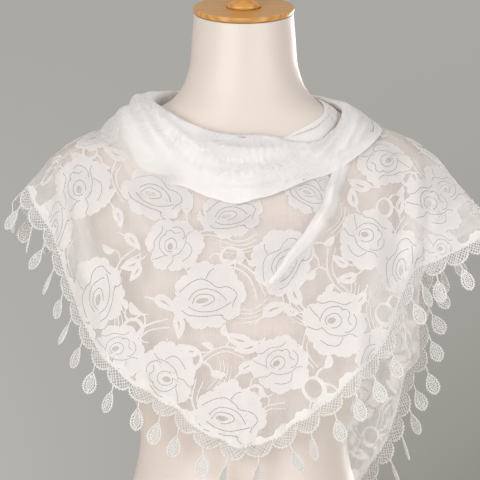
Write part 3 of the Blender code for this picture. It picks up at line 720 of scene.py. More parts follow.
def make_neck_band():
    angle = np.linspace(NECK_BAND[0][0], NECK_BAND[-1][0], BAND_COLUMNS)
    upper = smooth(NECK_BAND, 1, angle)
    lower = np.minimum(smooth(COWL, 1, angle) + BAND_CLEARANCE, upper - BAND_LEAST_WIDTH)
    share = np.linspace(0, 1, BAND_ROWS)
    z = upper[:, None] + (lower - upper)[:, None] * share
    around = np.repeat(angle[:, None], BAND_ROWS, axis=1)
    bulge = BAND_LIFT + BAND_BULGE * np.sin(np.pi * share) + BAND_RIPPLE * np.sin(np.radians(14 * around))
    points = lifted(around, z, bulge)
    sheet = new_sheet("lace_neck_band", points, measured_cut(points), DOUBLED)
    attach(sheet, "root")
    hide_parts("shawl_neck_band")
    return sheet


band_sheet = make_neck_band()


# The two ends
# The shawl's corners pass behind the neck and hang down the back, each in uneven upright pleats.
# Their plain edges meet near the middle of the back, and their outer edges carry the trim.
TAIL_RIGHT = [  # height, angle of the trimmed edge, angle of the plain edge
    (0.600, 90, 150), (0.491, 90, 150), (0.480, 96, 150), (0.458, 101, 150), (0.428, 101, 150),
    (0.347, 101, 151), (0.323, 106, 151), (0.2915, 108, 150), (0.250, 112, 149), (0.223, 117, 148),
    (0.160, 129, 146), (0.100, 138, 144),
]
TAIL_LEFT = [
    (0.600, 90, 150), (0.527, 90, 150), (0.512, 96, 150), (0.490, 103, 150), (0.455, 112, 150),
    (0.410, 122, 150), (0.350, 131, 150), (0.300, 134, 150), (0.250, 136, 149), (0.170, 139, 147),
    (0.110, 141, 145),
]
PLEAT_DEPTH, PLEAT_TOP, PLEAT_FULL, PLEAT_DRIFT = 0.007, 0.55, 0.43, 5.0
SMALL_PLEATS = [(0.16, 2.3, 3.0), (0.07, 4.7, -5.0)]  # depth and closeness against the large ones, drift
FULLEST_PLEAT = 1.1
TAIL_REST, TAIL_CLEAR = 0.60, 0.55
TAIL_COLUMNS, TAIL_UPPER_ROWS, TAIL_LOWER_ROWS = 75, 24, 110


def make_tail(name, node, outline, side, pleats):
    top, junction, tip = outline[0][0], outline[1][0], outline[-1][0]
    z = np.concatenate([
        np.linspace(top, junction, TAIL_UPPER_ROWS, endpoint=False),
        np.linspace(junction, tip, TAIL_LOWER_ROWS),
    ])
    outer, inner = smooth(outline, 1, z), smooth(outline, 2, z)
    across = np.linspace(0, 1, TAIL_COLUMNS)
    angle = np.maximum(outer[:, None] + (inner - outer)[:, None] * across, 90.0 + SEAM_TURN)
    z = np.repeat(z[:, None], TAIL_COLUMNS, axis=1)
    spread = ((inner - outer) / (inner - outer).max())[:, None]
    depth = PLEAT_DEPTH * (1 - ease(z, PLEAT_FULL, PLEAT_TOP)) * spread
    pleat = 0.5 + 0.5 * np.sin(2 * np.pi * pleats * across + PLEAT_DRIFT * z)
    for share, closer, drift in SMALL_PLEATS:
        small = share * np.sin(2 * np.pi * (closer * pleats * across + drift * z)) * np.sin(np.pi * across)
        pleat = pleat + small
    clear = (HANGING_LIFT - RESTING_LIFT) * (1 - ease(z, TAIL_CLEAR, TAIL_REST))
    points = lifted(side * angle, z, RESTING_LIFT + clear + depth * np.clip(pleat, 0, FULLEST_PLEAT))
    down = run_along(points[:, -1])
    from_plain_edge = run_along(points[:, ::-1].swapaxes(0, 1)).T[:, ::-1]
    cut = np.stack([side * from_plain_edge, np.repeat(-down[:, None], TAIL_COLUMNS, axis=1)], axis=-1)
    sheet = new_sheet(name, points, cut, NET)
    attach(sheet, "root")
    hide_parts(node)
    return sheet, points, cut


right_tail_sheet, right_tail_points, right_tail_cut = make_tail(
    "lace_tail_right", "shawl_tail_right", TAIL_RIGHT, 1, 3.5)
left_tail_sheet, left_tail_points, left_tail_cut = make_tail(
    "lace_tail_left", "shawl_tail_left", TAIL_LEFT, -1, 2.5)


# The gathered fold
# A narrow pleat of the front that stands up double from the cowl's right edge and runs down to the bust.
# It is the same net, closer where its two layers lie together, and painted whiter there for the light that
# they send back.
GATHERED_FOLD = [  # x and height along the pleat, half width and how far it stands up, in millimetres
    (112.0, 586.0, 6.0, 1.6), (104.0, 560.0, 8.4, 3.2), (95.0, 530.0, 9.8, 4.0), (87.0, 507.0, 9.8, 4.0),
    (74.0, 489.0, 9.0, 3.8), (56.0, 467.0, 8.0, 3.2), (39.0, 448.0, 5.6, 2.0), (27.0, 436.0, 2.4, 0.6),
]
MM_A_METRE = 1000
FOLD_STEPS, FOLD_ROWS, FOLD_CLEARANCE = 61, 13, 0.0009
FOLD_DENT, FOLD_DENT_WIDTH, FOLD_EVENINGS = 0.3, 0.2, 3
FOLD_WANDERS = [(0.0008, 0.45), (0.0005, 1.1)]  # reach, turn at each step
FOLD_OPENNESS = 0.9  # how see-through the side becomes that melts into the front


def angle_seen_at(x, z):
    """The angle round the form of the cloth that shows at a given x and height from the front."""
    angles = np.linspace(-90, 90, 721)
    across = cover(angles, np.full(len(angles), z))[:, 0]
    return float(np.interp(x, np.maximum.accumulate(across), angles))


def front_stands_off(angle, z):
    """How far the draped front lies beyond the surface that it hangs on."""
    column = int(np.clip(round((angle + 90) / 180 * (FRONT_COLUMNS - 1)), 0, FRONT_COLUMNS - 1))
    row = int(np.abs(front_points[column, :, 2] - z).argmin())
    return np.linalg.norm(front_points[column, row, :2]) - np.linalg.norm(cover(angle, z)[:2])


def make_gathered_fold():
    stations = np.array(GATHERED_FOLD) / MM_A_METRE
    path = through_stations(stations.T, FOLD_STEPS).T
    along = unit(np.gradient(path[:, :2], axis=0))
    aside = np.stack([along[:, 1], -along[:, 0]], axis=1)
    sides = np.linspace(-1, 1, FOLD_ROWS)
    points = np.zeros((FOLD_STEPS, FOLD_ROWS, 3))
    for i, (x, z, half, rise) in enumerate(path):
        wander = sum(reach * math.sin(turn * i) for reach, turn in FOLD_WANDERS)
        for j, side in enumerate(sides):
            seen_x, seen_z = np.array([x, z]) + aside[i] * (half * side + wander)
            angle = angle_seen_at(seen_x, seen_z)
            arch = float(ease(side, -1.0, 0.55) * (1 - 0.7 * ease(side, 0.7, 1.0)))
            dent = FOLD_DENT * math.exp(-((side - 0.1 * math.sin(0.2 * i)) / FOLD_DENT_WIDTH) ** 2)
            lift = front_stands_off(angle, seen_z) + FOLD_CLEARANCE + rise * arch * (1 - dent)
            points[i, j] = lifted(np.array(angle), np.array(seen_z), lift)
    for _ in range(FOLD_EVENINGS):
        points[1:-1] = (points[:-2] + 2 * points[1:-1] + points[2:]) / 4
    thinned = np.tile(FOLD_OPENNESS * (1 - ease(sides, -1.0, -0.1)), (FOLD_STEPS, 1))
    pleat = new_sheet("lace_gathered_fold", points, measured_cut(points), DOUBLED, thinned)
    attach(pleat, "root")
    return pleat


gathered_fold = make_gathered_fold()


# The lace flowers
# Roses, leaves, rings and stems knitted solid into the net with a thicker, shinier yarn, in one plane with it.
# Rows of open stitches part the petals: they are drawn as slots of solid faces in a painted grey shade, not as
# holes. They follow the cloth's flat cut, and drape with it.
FILL_SPACING, FILL_ROW_STEP = 0.0042, 0.87
MERGED_WITHIN = 1e-5
STITCH_LENGTH, STITCH_GAP, STITCH_WIDTH, STITCH_TAPER = 0.0021, 0.0004, 0.00085, 0.7
PETAL_POINTS, PETAL_ROUNDING, PETAL_ROUNDING_POWER = 46, 0.26, 2.6
PETAL_LUMPS, PETAL_LUMP_POWER, PETAL_LUMP_MEAN = 0.055, 0.7, 0.7
ROSE_HEART = ((0, 0), 20, 18, 28)  # as for a bud
LINE_STEPS = 40
ROUND_ROSE_PETALS = [  # direction and half spread in degrees, reach in mm, scallops along its edge
    (102, 33, 34.0, 3), (50, 34, 36.0, 3), (354, 35, 34.5, 3), (300, 35, 37.5, 4), (248, 31, 34.0, 3),
    (206, 27, 31.0, 2), (160, 32, 34.0, 3),
]
ROUND_ROSE_LINES = [  # each row is one line of open stitches, as places in mm from the middle of the rose
    [(-7, -1), (-9, 4), (-5, 9), (2, 10.5), (7, 7), (8, 1), (3, -4), (-3, -4.5)],
    [(-14, 5), (-10, 13), (-3, 17), (6, 17), (12, 12)],
    [(8, 14), (14, 14), (17, 9), (15, 3), (19, -3)],
    [(21, 9), (24, 3), (22, -4), (16, -9), (9, -9)],
    [(-12, -4), (-6, -10), (2, -12.5), (10, -13), (17, -11), (24, -14)],
    [(-12, -4), (-18, -6), (-24, -4), (-29, -2)],
    [(-25, 18), (-21, 12), (-16, 7), (-13, 0)],
    [(-19, 24), (-12, 21), (-3, 23), (5, 21), (12, 19), (19, 22)],
    [(-14, -17), (-6, -22), (3, -23), (8, -18), (10, -13)],
]
ROUND_ROSE_BUD = ((-2.2, 3.2), 4.4, 3.1, 18, 12)  # middle, half width and half height in mm, corners, turn
SIDE_ROSE_PETALS = [
    (98, 34, 35.5, 4), (48, 32, 36.5, 3), (8, 26, 37.0, 2), (328, 30, 33.0, 3), (284, 32, 29.5, 3),
    (236, 30, 32.0, 3), (192, 26, 36.5, 2), (150, 28, 34.0, 3),
]
SIDE_ROSE_LINES = [
    [(-16, -3), (-12, 3), (-5, 5), (3, 3.5), (6, -1), (0, -5), (-8, -7)],
    [(-19, 1), (-12, 8), (-2, 10), (8, 7), (14, 2), (18, -4)],
    [(-27, 9), (-20, 14), (-12, 18), (-4, 19), (4, 15), (10, 10), (18, 10), (25, 7)],
    [(-20, -6), (-12, -11), (-3, -12.5), (6, -12), (14, -9), (22, -5)],
    [(-27, -9), (-21, -14), (-12, -16), (-3, -17), (6, -16.5), (14, -18)],
    [(10, -16), (13, -21), (19, -23), (26, -20)],
    [(25, 7), (28, 1), (24, -5), (22, -11)],
    [(0, 19), (4, 25), (10, 28)],
]
SIDE_ROSE_BUD = ((-6.0, -1.2), 6.0, 2.5, 18, 6)


def solid_yarn_finish():
    """Closely knitted satin yarn: bright white, with fine upright wales and a silky lift at grazing angles."""
    finish, wire, shader = new_finish("satin lace flowers", 0.5, sheen_weight=0.35, sheen_roughness=0.35)
    cut = wire.node("ShaderNodeUVMap", {"uv_map": "Cut"})
    wales, courses = bands(cut, "X", 170.0, 1.0, 1.0), bands(cut, "Y", 130.0, 2.0, 1.0)
    cloud = noise(cut, 60.0, 3.0)
    feed(shader, "Base Color", between(0.6 * cloud + 0.25 * wales, (0.91, 0.885, 0.895), (0.955, 0.94, 0.95)))
    feed(shader, "Roughness", 0.44 + 0.18 * cloud)
    emboss(shader, wales + 0.7 * courses, 0.5, 0.0003)
    lit_through(shader, 0.42, (0.96, 0.95, 0.95))
    return finish


def painted_hole_shade_finish(name, dark, light):
    """Painted shade for the little holes between petals: the slots are solid faces, coloured from the dark to
    the light grey for the shade seen through each hole, with fine noise like a few slack threads.
    """
    finish, wire, shader = new_finish(name, 0.8)
    thread = noise(wire.node("ShaderNodeUVMap", {"uv_map": "Cut"}), 900.0, 1.0)
    # painted shade: the grey of the slots stands for the shaded form that shows through the holes
    feed(shader, "Base Color", between(thread, (dark,) * 3, (light,) * 3))
    return finish


def inside(points, outline):
    """Whether each point lies inside a closed outline."""
    a = np.asarray(outline)
    b = np.roll(a, -1, axis=0)
    px, py = points[:, None, 0], points[:, None, 1]
    spans = (a[:, 1] > py) != (b[:, 1] > py)
    rise = np.where(b[:, 1] == a[:, 1], 1e-12, b[:, 1] - a[:, 1])
    crossing = (b[:, 0] - a[:, 0]) * (py - a[:, 1]) / rise + a[:, 0]
    return (np.count_nonzero(spans & (px < crossing), axis=1) % 2).astype(bool)


def inside_any(points, outlines):
    found = np.zeros(len(points), dtype=bool)
    for outline in outlines:
        found |= inside(points, outline)
    return found


def flat_motif(name, solids, holes=(), stitches=()):
    """A flat mesh of all that lies inside the solids and outside the holes; faces in the stitches are marked
    stitched, and the drape tree gives them the painted hole shade.
    """
    corners, edges = [], []
    for outline in [*solids, *holes, *stitches]:
        start = len(corners)
        corners.extend(outline)
        edges.extend((start + i, start + (i + 1) % len(outline)) for i in range(len(outline)))
    corners = np.array(corners)
    low, high = corners.min(axis=0), corners.max(axis=0)
    rows = np.arange(low[1], high[1], FILL_SPACING * FILL_ROW_STEP)
    grid = np.array([
        (x + (FILL_SPACING / 2 if r % 2 else 0), y)
        for r, y in enumerate(rows)
        for x in np.arange(low[0], high[0], FILL_SPACING)
    ])
    grid = grid[inside_any(grid, solids) & ~inside_any(grid, stitches)]
    spots = np.concatenate([corners, grid]) * MM_A_METRE
    made = delaunay_2d_cdt([Vector(spot) for spot in spots], edges, [], 0, MERGED_WITHIN)
    vertices, triangles = np.array([tuple(v) for v in made[0]]) / MM_A_METRE, np.array(made[2])
    middles = vertices[triangles].mean(axis=1)
    kept = inside_any(middles, solids) & ~inside_any(middles, holes)
    flat = np.concatenate([vertices, np.zeros((len(vertices), 1))], axis=1)
    motif = new_piece(name, flat, [tuple(t) for t in triangles[kept]], SATIN)
    marks = motif.data.attributes.new("stitched", "BOOLEAN", "FACE")
    marks.data.foreach_set("value", inside_any(middles, stitches)[kept])
    return motif


SATIN = solid_yarn_finish()
# painted shade for the open-stitch slots: dark grey over the form, lighter grey where folded net lies behind
# them
HOLE_SHADE = painted_hole_shade_finish("open stitches", 0.17, 0.42)
FOLDED_HOLE_SHADE = painted_hole_shade_finish("open stitches over folded net", 0.66, 0.82)


def petal_outline(direction, half_spread, reach, scallops):
    """One outer petal, from the rose's middle out to an edge of small rounded scallops; metres."""
    t = np.linspace(0, 1, PETAL_POINTS)
    side = 2 * t - 1
    turn = np.radians(direction + half_spread * side)
    lumps = PETAL_LUMPS * (np.abs(np.sin(np.pi * scallops * t)) ** PETAL_LUMP_POWER - PETAL_LUMP_MEAN)
    edge = reach * (1 - PETAL_ROUNDING * np.abs(side) ** PETAL_ROUNDING_POWER) * (1 + lumps)
    rim = np.stack([edge * np.cos(turn), edge * np.sin(turn)], axis=1)
    return np.concatenate([[[0.0, 0.0]], rim]) / MM_A_METRE


def smooth_path(points, steps):
    """A smooth path through a few places in mm, in metres."""
    return through_stations(np.array(points, dtype=float).T, steps).T / MM_A_METRE


def stitches_along(path):
    """Small slots, end to end along a path of points in metres, for open stitches that are drawn in painted
    shade.
    """
    run = run_along(path)
    slots = []
    for start in np.arange(0.0, run[-1] - STITCH_LENGTH, STITCH_LENGTH + STITCH_GAP):
        head, foot = (
            np.array([np.interp(s, run, path[:, k]) for k in (0, 1)]) for s in (start, start + STITCH_LENGTH))
        along = unit(foot - head)
        aside = np.array([-along[1], along[0]]) * STITCH_WIDTH / 2
        slots.append([head - aside, foot - aside * STITCH_TAPER, foot + aside, head + aside * STITCH_TAPER])
    return slots


def oval(middle, half_width, half_height, points=18, turn=0.0):
    a = np.linspace(0, 2 * np.pi, points, endpoint=False)
    x, y = half_width * np.cos(a), half_height * np.sin(a)
    c, s = math.cos(math.radians(turn)), math.sin(math.radians(turn))
    return np.stack([middle[0] + x * c - y * s, middle[1] + x * s + y * c], axis=1) / MM_A_METRE


def make_rose(name, petals, lines, bud):
    solids = [petal_outline(*petal) for petal in petals] + [oval(*ROSE_HEART)]
    slots = [slot for line in lines for slot in stitches_along(smooth_path(line, LINE_STEPS))]
    return flat_motif(name, solids, [oval(*bud)], slots)


def band_along(points, widths, steps=16):
    """A closed outline round a smooth path, with its widths in mm spaced evenly from end to end."""
    path = smooth_path(points, steps)
    along = unit(np.gradient(path, axis=0))
    aside = np.stack([-along[:, 1], along[:, 0]], axis=1)
    share = np.linspace(0, 1, steps)
    half = np.interp(share, np.linspace(0, 1, len(widths)), widths)[:, None] / (2 * MM_A_METRE)
    return np.concatenate([path + aside * half, (path - aside * half)[::-1]])


def leaf(points, width):
    """A full leaf along a smooth path, and the slit of open net along its middle."""
    blade = band_along(points, [0.8, width * 0.66, width * 0.94, width, width * 0.86, width * 0.52, 0.3], 18)
    middle = smooth_path(points, 31)[9:24] * MM_A_METRE
    slit = band_along(middle[::3], [0.3, width * 0.15, width * 0.17, width * 0.1, 0.2], 9)
    return blade, slit


def make_leaf(name):
    blade, slit = leaf([(2, 0), (15, 3), (33, 0.5)], 15.0)
    stem = band_along([(-7, -3.5), (-2, -1), (5, 0.3)], [1.8, 1.8, 2.2], 6)
    return flat_motif(name, [blade, stem], [slit])


def make_ring(name):
    solids = [
        oval((0, 0), 14.5, 13.0, 26, 20),
        band_along([(12, -4), (19, -9), (22, -18)], [3.2, 2.6, 1.2], 9),
        band_along([(-12, 6), (-19, 9), (-27, 6)], [3.0, 2.2, 1.0], 9),
        band_along([(4, -12), (0, -20), (-8, -25)], [2.6, 2.0, 1.0], 9),
        leaf([(20, -15), (26, -21), (36, -22)], 9.0)[0],
    ]
    return flat_motif(name, solids, [oval((1.0, 0.9), 10.4, 8.8, 22, 24)])


def make_stems(name):
    solids = [
        band_along([(-30, -7), (-12, 2), (6, 3), (28, -6)], [1.7, 2.3, 2.2, 1.4], 20),
        band_along([(-29, -13), (-12, -4), (5, -3), (24, -14)], [1.4, 1.8, 1.7, 1.1], 20),
        band_along([(3, 3), (10, 11), (9, 22)], [2.0, 1.7, 1.0], 9),
        leaf([(9, 16), (5, 24), (8, 33)], 9.0)[0],
        leaf([(-12, 1), (-17, 9), (-26, 13)], 8.5)[0],
    ]
    return flat_motif(name, solids)


def make_threads(name):
    solids = [
        band_along([(-22, 5), (-6, -2), (8, -2), (22, 6)], [1.0, 1.3, 1.3, 0.9], 16),
        band_along([(-21, -2), (-6, -7), (8, -7), (21, -1)], [0.9, 1.2, 1.2, 0.9], 16),
        band_along([(-20, -9), (-6, -12), (6, -12), (19, -8)], [0.9, 1.1, 1.1, 0.8], 14),
        band_along([(-18, -15), (-6, -17), (6, -16), (16, -14)], [0.8, 1.0, 1.0, 0.7], 12),
    ]
    return flat_motif(name, solids)


def make_ladder(name):
    """A short length of narrow hem with open rungs, which are drawn in painted shade."""
    strip = band_along([(-12, 0), (0, 0.2), (12, 0)], [3.4, 3.4], 12)
    rungs = [
        band_along([(x, -0.9), (x + 0.3, 0), (x, 0.9)], [0.8, 0.8], 3)
        for x in np.arange(-11.0, 11.5, 2.2)
    ]
    return flat_motif(name, [strip], (), rungs)


motifs = [
    make_rose("round_rose", ROUND_ROSE_PETALS, ROUND_ROSE_LINES, ROUND_ROSE_BUD),
    make_rose("side_rose", SIDE_ROSE_PETALS, SIDE_ROSE_LINES, SIDE_ROSE_BUD),
    make_leaf("leaf"), make_ring("ring"), make_stems("stems"), make_threads("threads"),
    make_ladder("hem_ladder"),
]
ROUND, SIDE, LEAF, RING, STEMS, THREADS, LADDER = range(7)
LAYER_OF_KIND = np.array([7, 6, 5, 3, 2, 1, 0])  # from the net up, so that the roses lie over the stems


def new_tree(name, inputs):
    """The entry of a new Geometry Nodes tree, with inputs of the given names and kinds."""
    tree = bpy.data.node_groups.new(name, "GeometryNodeTree")
    for title, kind in {"Geometry": "Geometry", **inputs}.items():
        tree.interface.new_socket(title, in_out="INPUT", socket_type="NodeSocket" + kind)
    tree.interface.new_socket("Geometry", in_out="OUTPUT", socket_type="NodeSocketGeometry")
    return Wire(tree).node("NodeGroupInput")


def made_by_tree(name, carrier, tree, inputs):
    """The plain mesh that a tree makes of its carrier, as a piece; the carrier goes."""
    step = carrier.modifiers.new("nodes", "NODES")
    step.node_group = tree
    for item in tree.interface.items_tree:
        if item.in_out == "INPUT" and item.name in inputs:
            step[item.identifier] = inputs[item.name]
    graph = bpy.context.evaluated_depsgraph_get()
    seen = carrier.evaluated_get(graph)
    mesh = bpy.data.meshes.new_from_object(seen, preserve_all_data_layers=True, depsgraph=graph)
    bpy.data.objects.remove(carrier)
    piece = bpy.data.objects.new(name, mesh)
    bpy.context.scene.collection.objects.link(piece)
    mesh.shade_smooth()
    return piece


def named(wire, name, kind):
    return wire.node("GeometryNodeInputNamedAttribute", {"data_type": kind}, {"Name": name})


def shape_of(holder, space="ORIGINAL"):
    settings = {"transform_space": space}
    return holder.node("GeometryNodeObjectInfo", settings, {"Object": holder}, output="Geometry")


def vector(wire, x=0.0, y=0.0, z=0.0):
    return wire.node("ShaderNodeCombineXYZ", {}, {"X": x, "Y": y, "Z": z})


def scaled(direction, factor):
    return direction.node("ShaderNodeVectorMath", {"operation": "SCALE"}, {0: direction, "Scale": factor})


def added(total, *others):
    for other in others:
        total = total.node("ShaderNodeVectorMath", {"operation": "ADD"}, {0: total, 1: other})
    return total


def drape_tree():
    """Sets a motif on each layout point of the flat cut, then carries all of them onto the draped cloth."""
    inputs = {"Cloth": "Object", "Stand off": "Float", "Hole shade": "Material"}
    entry = new_tree("drape lace flowers", {**inputs, **{motif.name: "Object" for motif in motifs}})
    kind, size = named(entry, "kind", "INT"), named(entry, "size", "FLOAT")
    rotation = vector(entry, z=named(entry, "turn", "FLOAT"))
    placed = []
    for number, motif in enumerate(motifs):
        comparison = {"data_type": "INT", "operation": "EQUAL"}
        placed.append(entry.node("GeometryNodeInstanceOnPoints", {}, {
            "Points": entry, "Selection": entry.node("FunctionNodeCompare", comparison, {2: kind, 3: number}),
            "Instance": shape_of(entry[motif.name]), "Rotation": rotation, "Scale": size,
        }))
    joined = entry.node("GeometryNodeJoinGeometry", {}, {0: placed})
    real = entry.node("GeometryNodeRealizeInstances", {}, {0: joined})
    place = entry.node("GeometryNodeInputPosition")
    kept_cut = entry.node("GeometryNodeStoreNamedAttribute", {"data_type": "FLOAT2", "domain": "CORNER"}, {
        "Geometry": real, "Name": "Cut", "Value": place,
    })
    cloth = shape_of(entry["Cloth"], "RELATIVE")
    cut = named(entry, "Cut", "FLOAT_VECTOR")

    def on_cloth(values):
        return entry.node("GeometryNodeSampleUVSurface", {"data_type": "FLOAT_VECTOR"}, {
            "Mesh": cloth, "Value": values, "Source UV Map": cut, "Sample UV": place,
        })

    found, facing = on_cloth(place), on_cloth(entry.node("GeometryNodeInputNormal"))
    clear = entry["Stand off"] + entry.node("ShaderNodeSeparateXYZ", {}, {0: place}, output="Z")
    missed = entry.node("FunctionNodeBooleanMath", {"operation": "NOT"}, {0: found["Is Valid"]})
    held = {"missed": "BOOLEAN", "landed": "VECTOR"}
    fall = entry.node("GeometryNodeCaptureAttribute", {"captures": held}, {
        "Geometry": kept_cut, "missed": missed, "landed": added(found, scaled(facing, clear)),
    })
    trimmed = entry.node("GeometryNodeDeleteGeometry", {"domain": "POINT"}, {
        "Geometry": fall, "Selection": fall["missed"],
    })
    moved = entry.node("GeometryNodeSetPosition", {}, {"Geometry": trimmed, "Position": fall["landed"]})
    satin = entry.node("GeometryNodeSetMaterial", {}, {"Geometry": moved, "Material": SATIN})
    # the faces marked stitched take the painted hole shade in place of real holes
    hole_shaded = entry.node("GeometryNodeSetMaterial", {}, {
        "Geometry": satin, "Selection": named(entry, "stitched", "BOOLEAN"), "Material": entry["Hole shade"],
    })
    entry.node("NodeGroupOutput", {}, {0: hole_shaded})
    return entry.tree


DRAPE = drape_tree()
# so that no two motifs share one surface
FLOWER_STAND_OFF, KIND_LAYER, TURN_LAYER, TURN_LAYERS = 0.0003, 0.00004, 0.000012, 3


def draped_flowers(name, layout, cloth, slot):
    """The motifs of a layout on the cloth; its columns: kind, across, up, turn in degrees, size."""
    layout = np.array(layout, dtype=float)
    kinds = layout[:, 0].astype(int)
    layers = KIND_LAYER * LAYER_OF_KIND[kinds] + TURN_LAYER * (np.arange(len(layout)) % TURN_LAYERS)
    carrier = new_piece(name + "_layout", np.column_stack([layout[:, 1:3], layers]), [], SATIN)
    turns, sizes = np.radians(layout[:, 3]), layout[:, 4]
    for title, sort, values in (("kind", "INT", kinds), ("turn", "FLOAT", turns), ("size", "FLOAT", sizes)):
        carrier.data.attributes.new(title, sort, "POINT").data.foreach_set("value", values)
    # the painted hole shade: lighter on folded cloth, where net lies behind the holes
    stitches = FOLDED_HOLE_SHADE if slot == "folded_cloth" else HOLE_SHADE
    inputs = {"Cloth": cloth, "Stand off": FLOWER_STAND_OFF, "Hole shade": stitches}
    flowers = made_by_tree(name, carrier, DRAPE, {**inputs, **{motif.name: motif for motif in motifs}})
    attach(flowers, "root")
    return flowers


FRONT_FLOWERS = [  # kind, column and row of its middle in the photograph's 480 x 480 frame, turn, size
    (ROUND, 332, 317, 0, 1.0), (ROUND, 280, 357, 25, 0.88), (ROUND, 363, 236, -30, 0.9),
    (ROUND, 172, 368, 150, 0.95), (ROUND, 178, 243, 70, 0.86), (SIDE, 212, 292, 6, 1.05),
    (SIDE, 231, 409, -8, 1.05), (SIDE, 160, 193, -18, 1.0), (ROUND, 88, 188, 95, 1.0),
    (SIDE, 107, 290, 80, 1.0), (SIDE, 284, 258, 62, 0.95), (ROUND, 431, 206, 40, 1.0),
    (ROUND, 385, 160, 200, 0.9), (SIDE, 234, 212, 12, 0.9), (SIDE, 398, 262, 75, 0.95),
    (SIDE, 62, 225, 70, 0.9), (ROUND, 126, 345, 10, 0.8), (SIDE, 312, 192, -30, 0.8),
    (ROUND, 130, 128, 50, 0.85), (SIDE, 374, 350, 38, 0.8), (ROUND, 440, 250, 0, 0.7),
    (ROUND, 326, 402, 60, 0.5), (SIDE, 100, 140, 24, 0.75), (LEAF, 420, 156, 30, 0.8),
    (LEAF, 66, 160, 120, 0.8), (STEMS, 446, 172, 60, 0.7), (LEAF, 157, 292, -28, 0.95),
    (LEAF, 180, 306, -82, 0.85), (LEAF, 256, 334, 163, 0.95), (LEAF, 262, 334, 196, 0.85),
    (LEAF, 262, 310, 22, 1.0), (LEAF, 302, 300, 112, 0.95), (LEAF, 300, 306, 160, 0.6),
    (LEAF, 356, 270, 190, 0.75), (LEAF, 349, 262, 150, 0.7), (LEAF, 95, 165, 150, 0.9),
    (LEAF, 96, 168, 205, 0.85), (LEAF, 134, 158, 160, 1.0), (LEAF, 118, 205, -70, 0.8),
    (LEAF, 128, 232, -40, 0.8), (LEAF, 148, 256, 200, 0.8), (LEAF, 146, 258, 240, 0.7),
    (LEAF, 190, 214, 75, 0.8), (LEAF, 372, 188, 155, 0.9), (LEAF, 356, 208, 100, 0.8),
    (LEAF, 398, 216, 80, 0.75), (LEAF, 345, 258, 60, 0.7), (LEAF, 362, 285, 230, 0.7),
    (LEAF, 206, 345, 160, 0.8), (LEAF, 240, 366, 30, 0.8), (RING, 194, 352, 10, 0.95),
    (RING, 313, 381, 100, 0.95), (RING, 304, 249, 60, 0.85), (RING, 381, 310, 95, 0.9),
    (RING, 382, 208, 80, 0.8), (RING, 53, 178, 20, 0.8), (RING, 140, 322, 150, 0.8),
    (RING, 232, 252, 20, 0.75), (RING, 256, 384, 190, 0.7), (RING, 408, 180, 30, 0.7),
    (STEMS, 250, 268, -40, 1.0), (STEMS, 282, 284, -52, 0.9), (STEMS, 128, 262, 60, 0.9),
    (STEMS, 150, 325, 40, 1.0), (STEMS, 226, 342, 10, 0.8), (STEMS, 330, 268, 110, 0.9),
    (STEMS, 395, 235, 80, 0.8), (STEMS, 200, 392, 100, 0.8), (STEMS, 305, 342, 100, 0.7),
    (STEMS, 76, 252, 80, 0.8), (STEMS, 120, 180, 100, 0.8), (STEMS, 206, 232, 20, 0.8),
    (STEMS, 420, 176, 150, 0.8), (STEMS, 366, 300, 80, 0.8), (STEMS, 268, 400, 30, 0.7),
    (THREADS, 250, 300, 8, 0.9), (THREADS, 160, 345, 30, 0.9), (THREADS, 305, 305, -30, 0.8),
    (THREADS, 345, 290, 60, 0.8), (THREADS, 120, 312, 110, 0.8), (THREADS, 240, 236, 0, 0.9),
    (THREADS, 220, 366, 70, 0.8), (THREADS, 190, 268, 120, 0.8), (THREADS, 385, 268, 100, 0.7),
    (THREADS, 336, 218, 60, 0.8),
]
SHOULDER_FLOWERS = [  # kind, angle and height of its middle, turn, size
    (ROUND, -89, 0.574, 40, 0.9), (SIDE, -80, 0.596, -12, 0.75), (LEAF, -72, 0.590, 20, 0.9),
    (STEMS, -84, 0.552, 60, 0.8), (RING, -77, 0.566, 0, 0.7), (ROUND, 89, 0.566, 10, 0.9),
    (SIDE, 84, 0.528, 60, 0.9), (LEAF, 74, 0.592, 150, 0.9), (ROUND, 76, 0.598, 30, 0.7),
    (STEMS, 82, 0.585, 100, 0.9), (LEAF, 86, 0.500, 30, 0.9), (RING, 89, 0.516, 0, 0.8),
]
# how the photograph's frame lies against the object, at the depth of the form's middle
MIDDLE_COLUMN, POINT_ROW, METRES_A_PIXEL, POINT_HEIGHT = 246, 445, 0.00105, 0.26


def front_layout():
    layout = []
    for kind, column, row, turn, size in FRONT_FLOWERS:
        x = (column - MIDDLE_COLUMN) * METRES_A_PIXEL
        z = POINT_HEIGHT + (POINT_ROW - row) * METRES_A_PIXEL
        across, up = cut_place(np.array(angle_seen_at(x, z)), np.array(z))
        layout.append((kind, across, up, turn, size))
    for kind, angle, z, turn, size in SHOULDER_FLOWERS:
        across, up = cut_place(np.array(float(angle)), np.array(z))
        layout.append((kind, across, up, turn, size))
    return layout


FLOWER_REPEAT, REPEAT_MARGIN, REPEAT_TURN, REPEAT_TURNS = (0.113, 0.116), 0.03, 17, 3
COWL_BARE_EDGE = (0.17, 0.034)  # no flower lies at the cowl's edge on the -X side, which melts into the front
REPEAT = [  # kind, across and up in the repeat in mm, turn, size
    (ROUND, 0, 0, 10, 0.95), (SIDE, 56, 56, -6, 1.0), (LEAF, 40, 12, 30, 0.9), (LEAF, 44, -6, -50, 0.85),
    (RING, 74, 12, 20, 0.85), (STEMS, 52, 22, 80, 0.8), (STEMS, -4, 56, 20, 0.9), (LEAF, 8, 62, 150, 0.85),
    (LEAF, 2, 44, -120, 0.8), (RING, 22, 84, 160, 0.75), (THREADS, 84, 40, 60, 0.8),
    (THREADS, 30, 40, 10, 0.8),
]


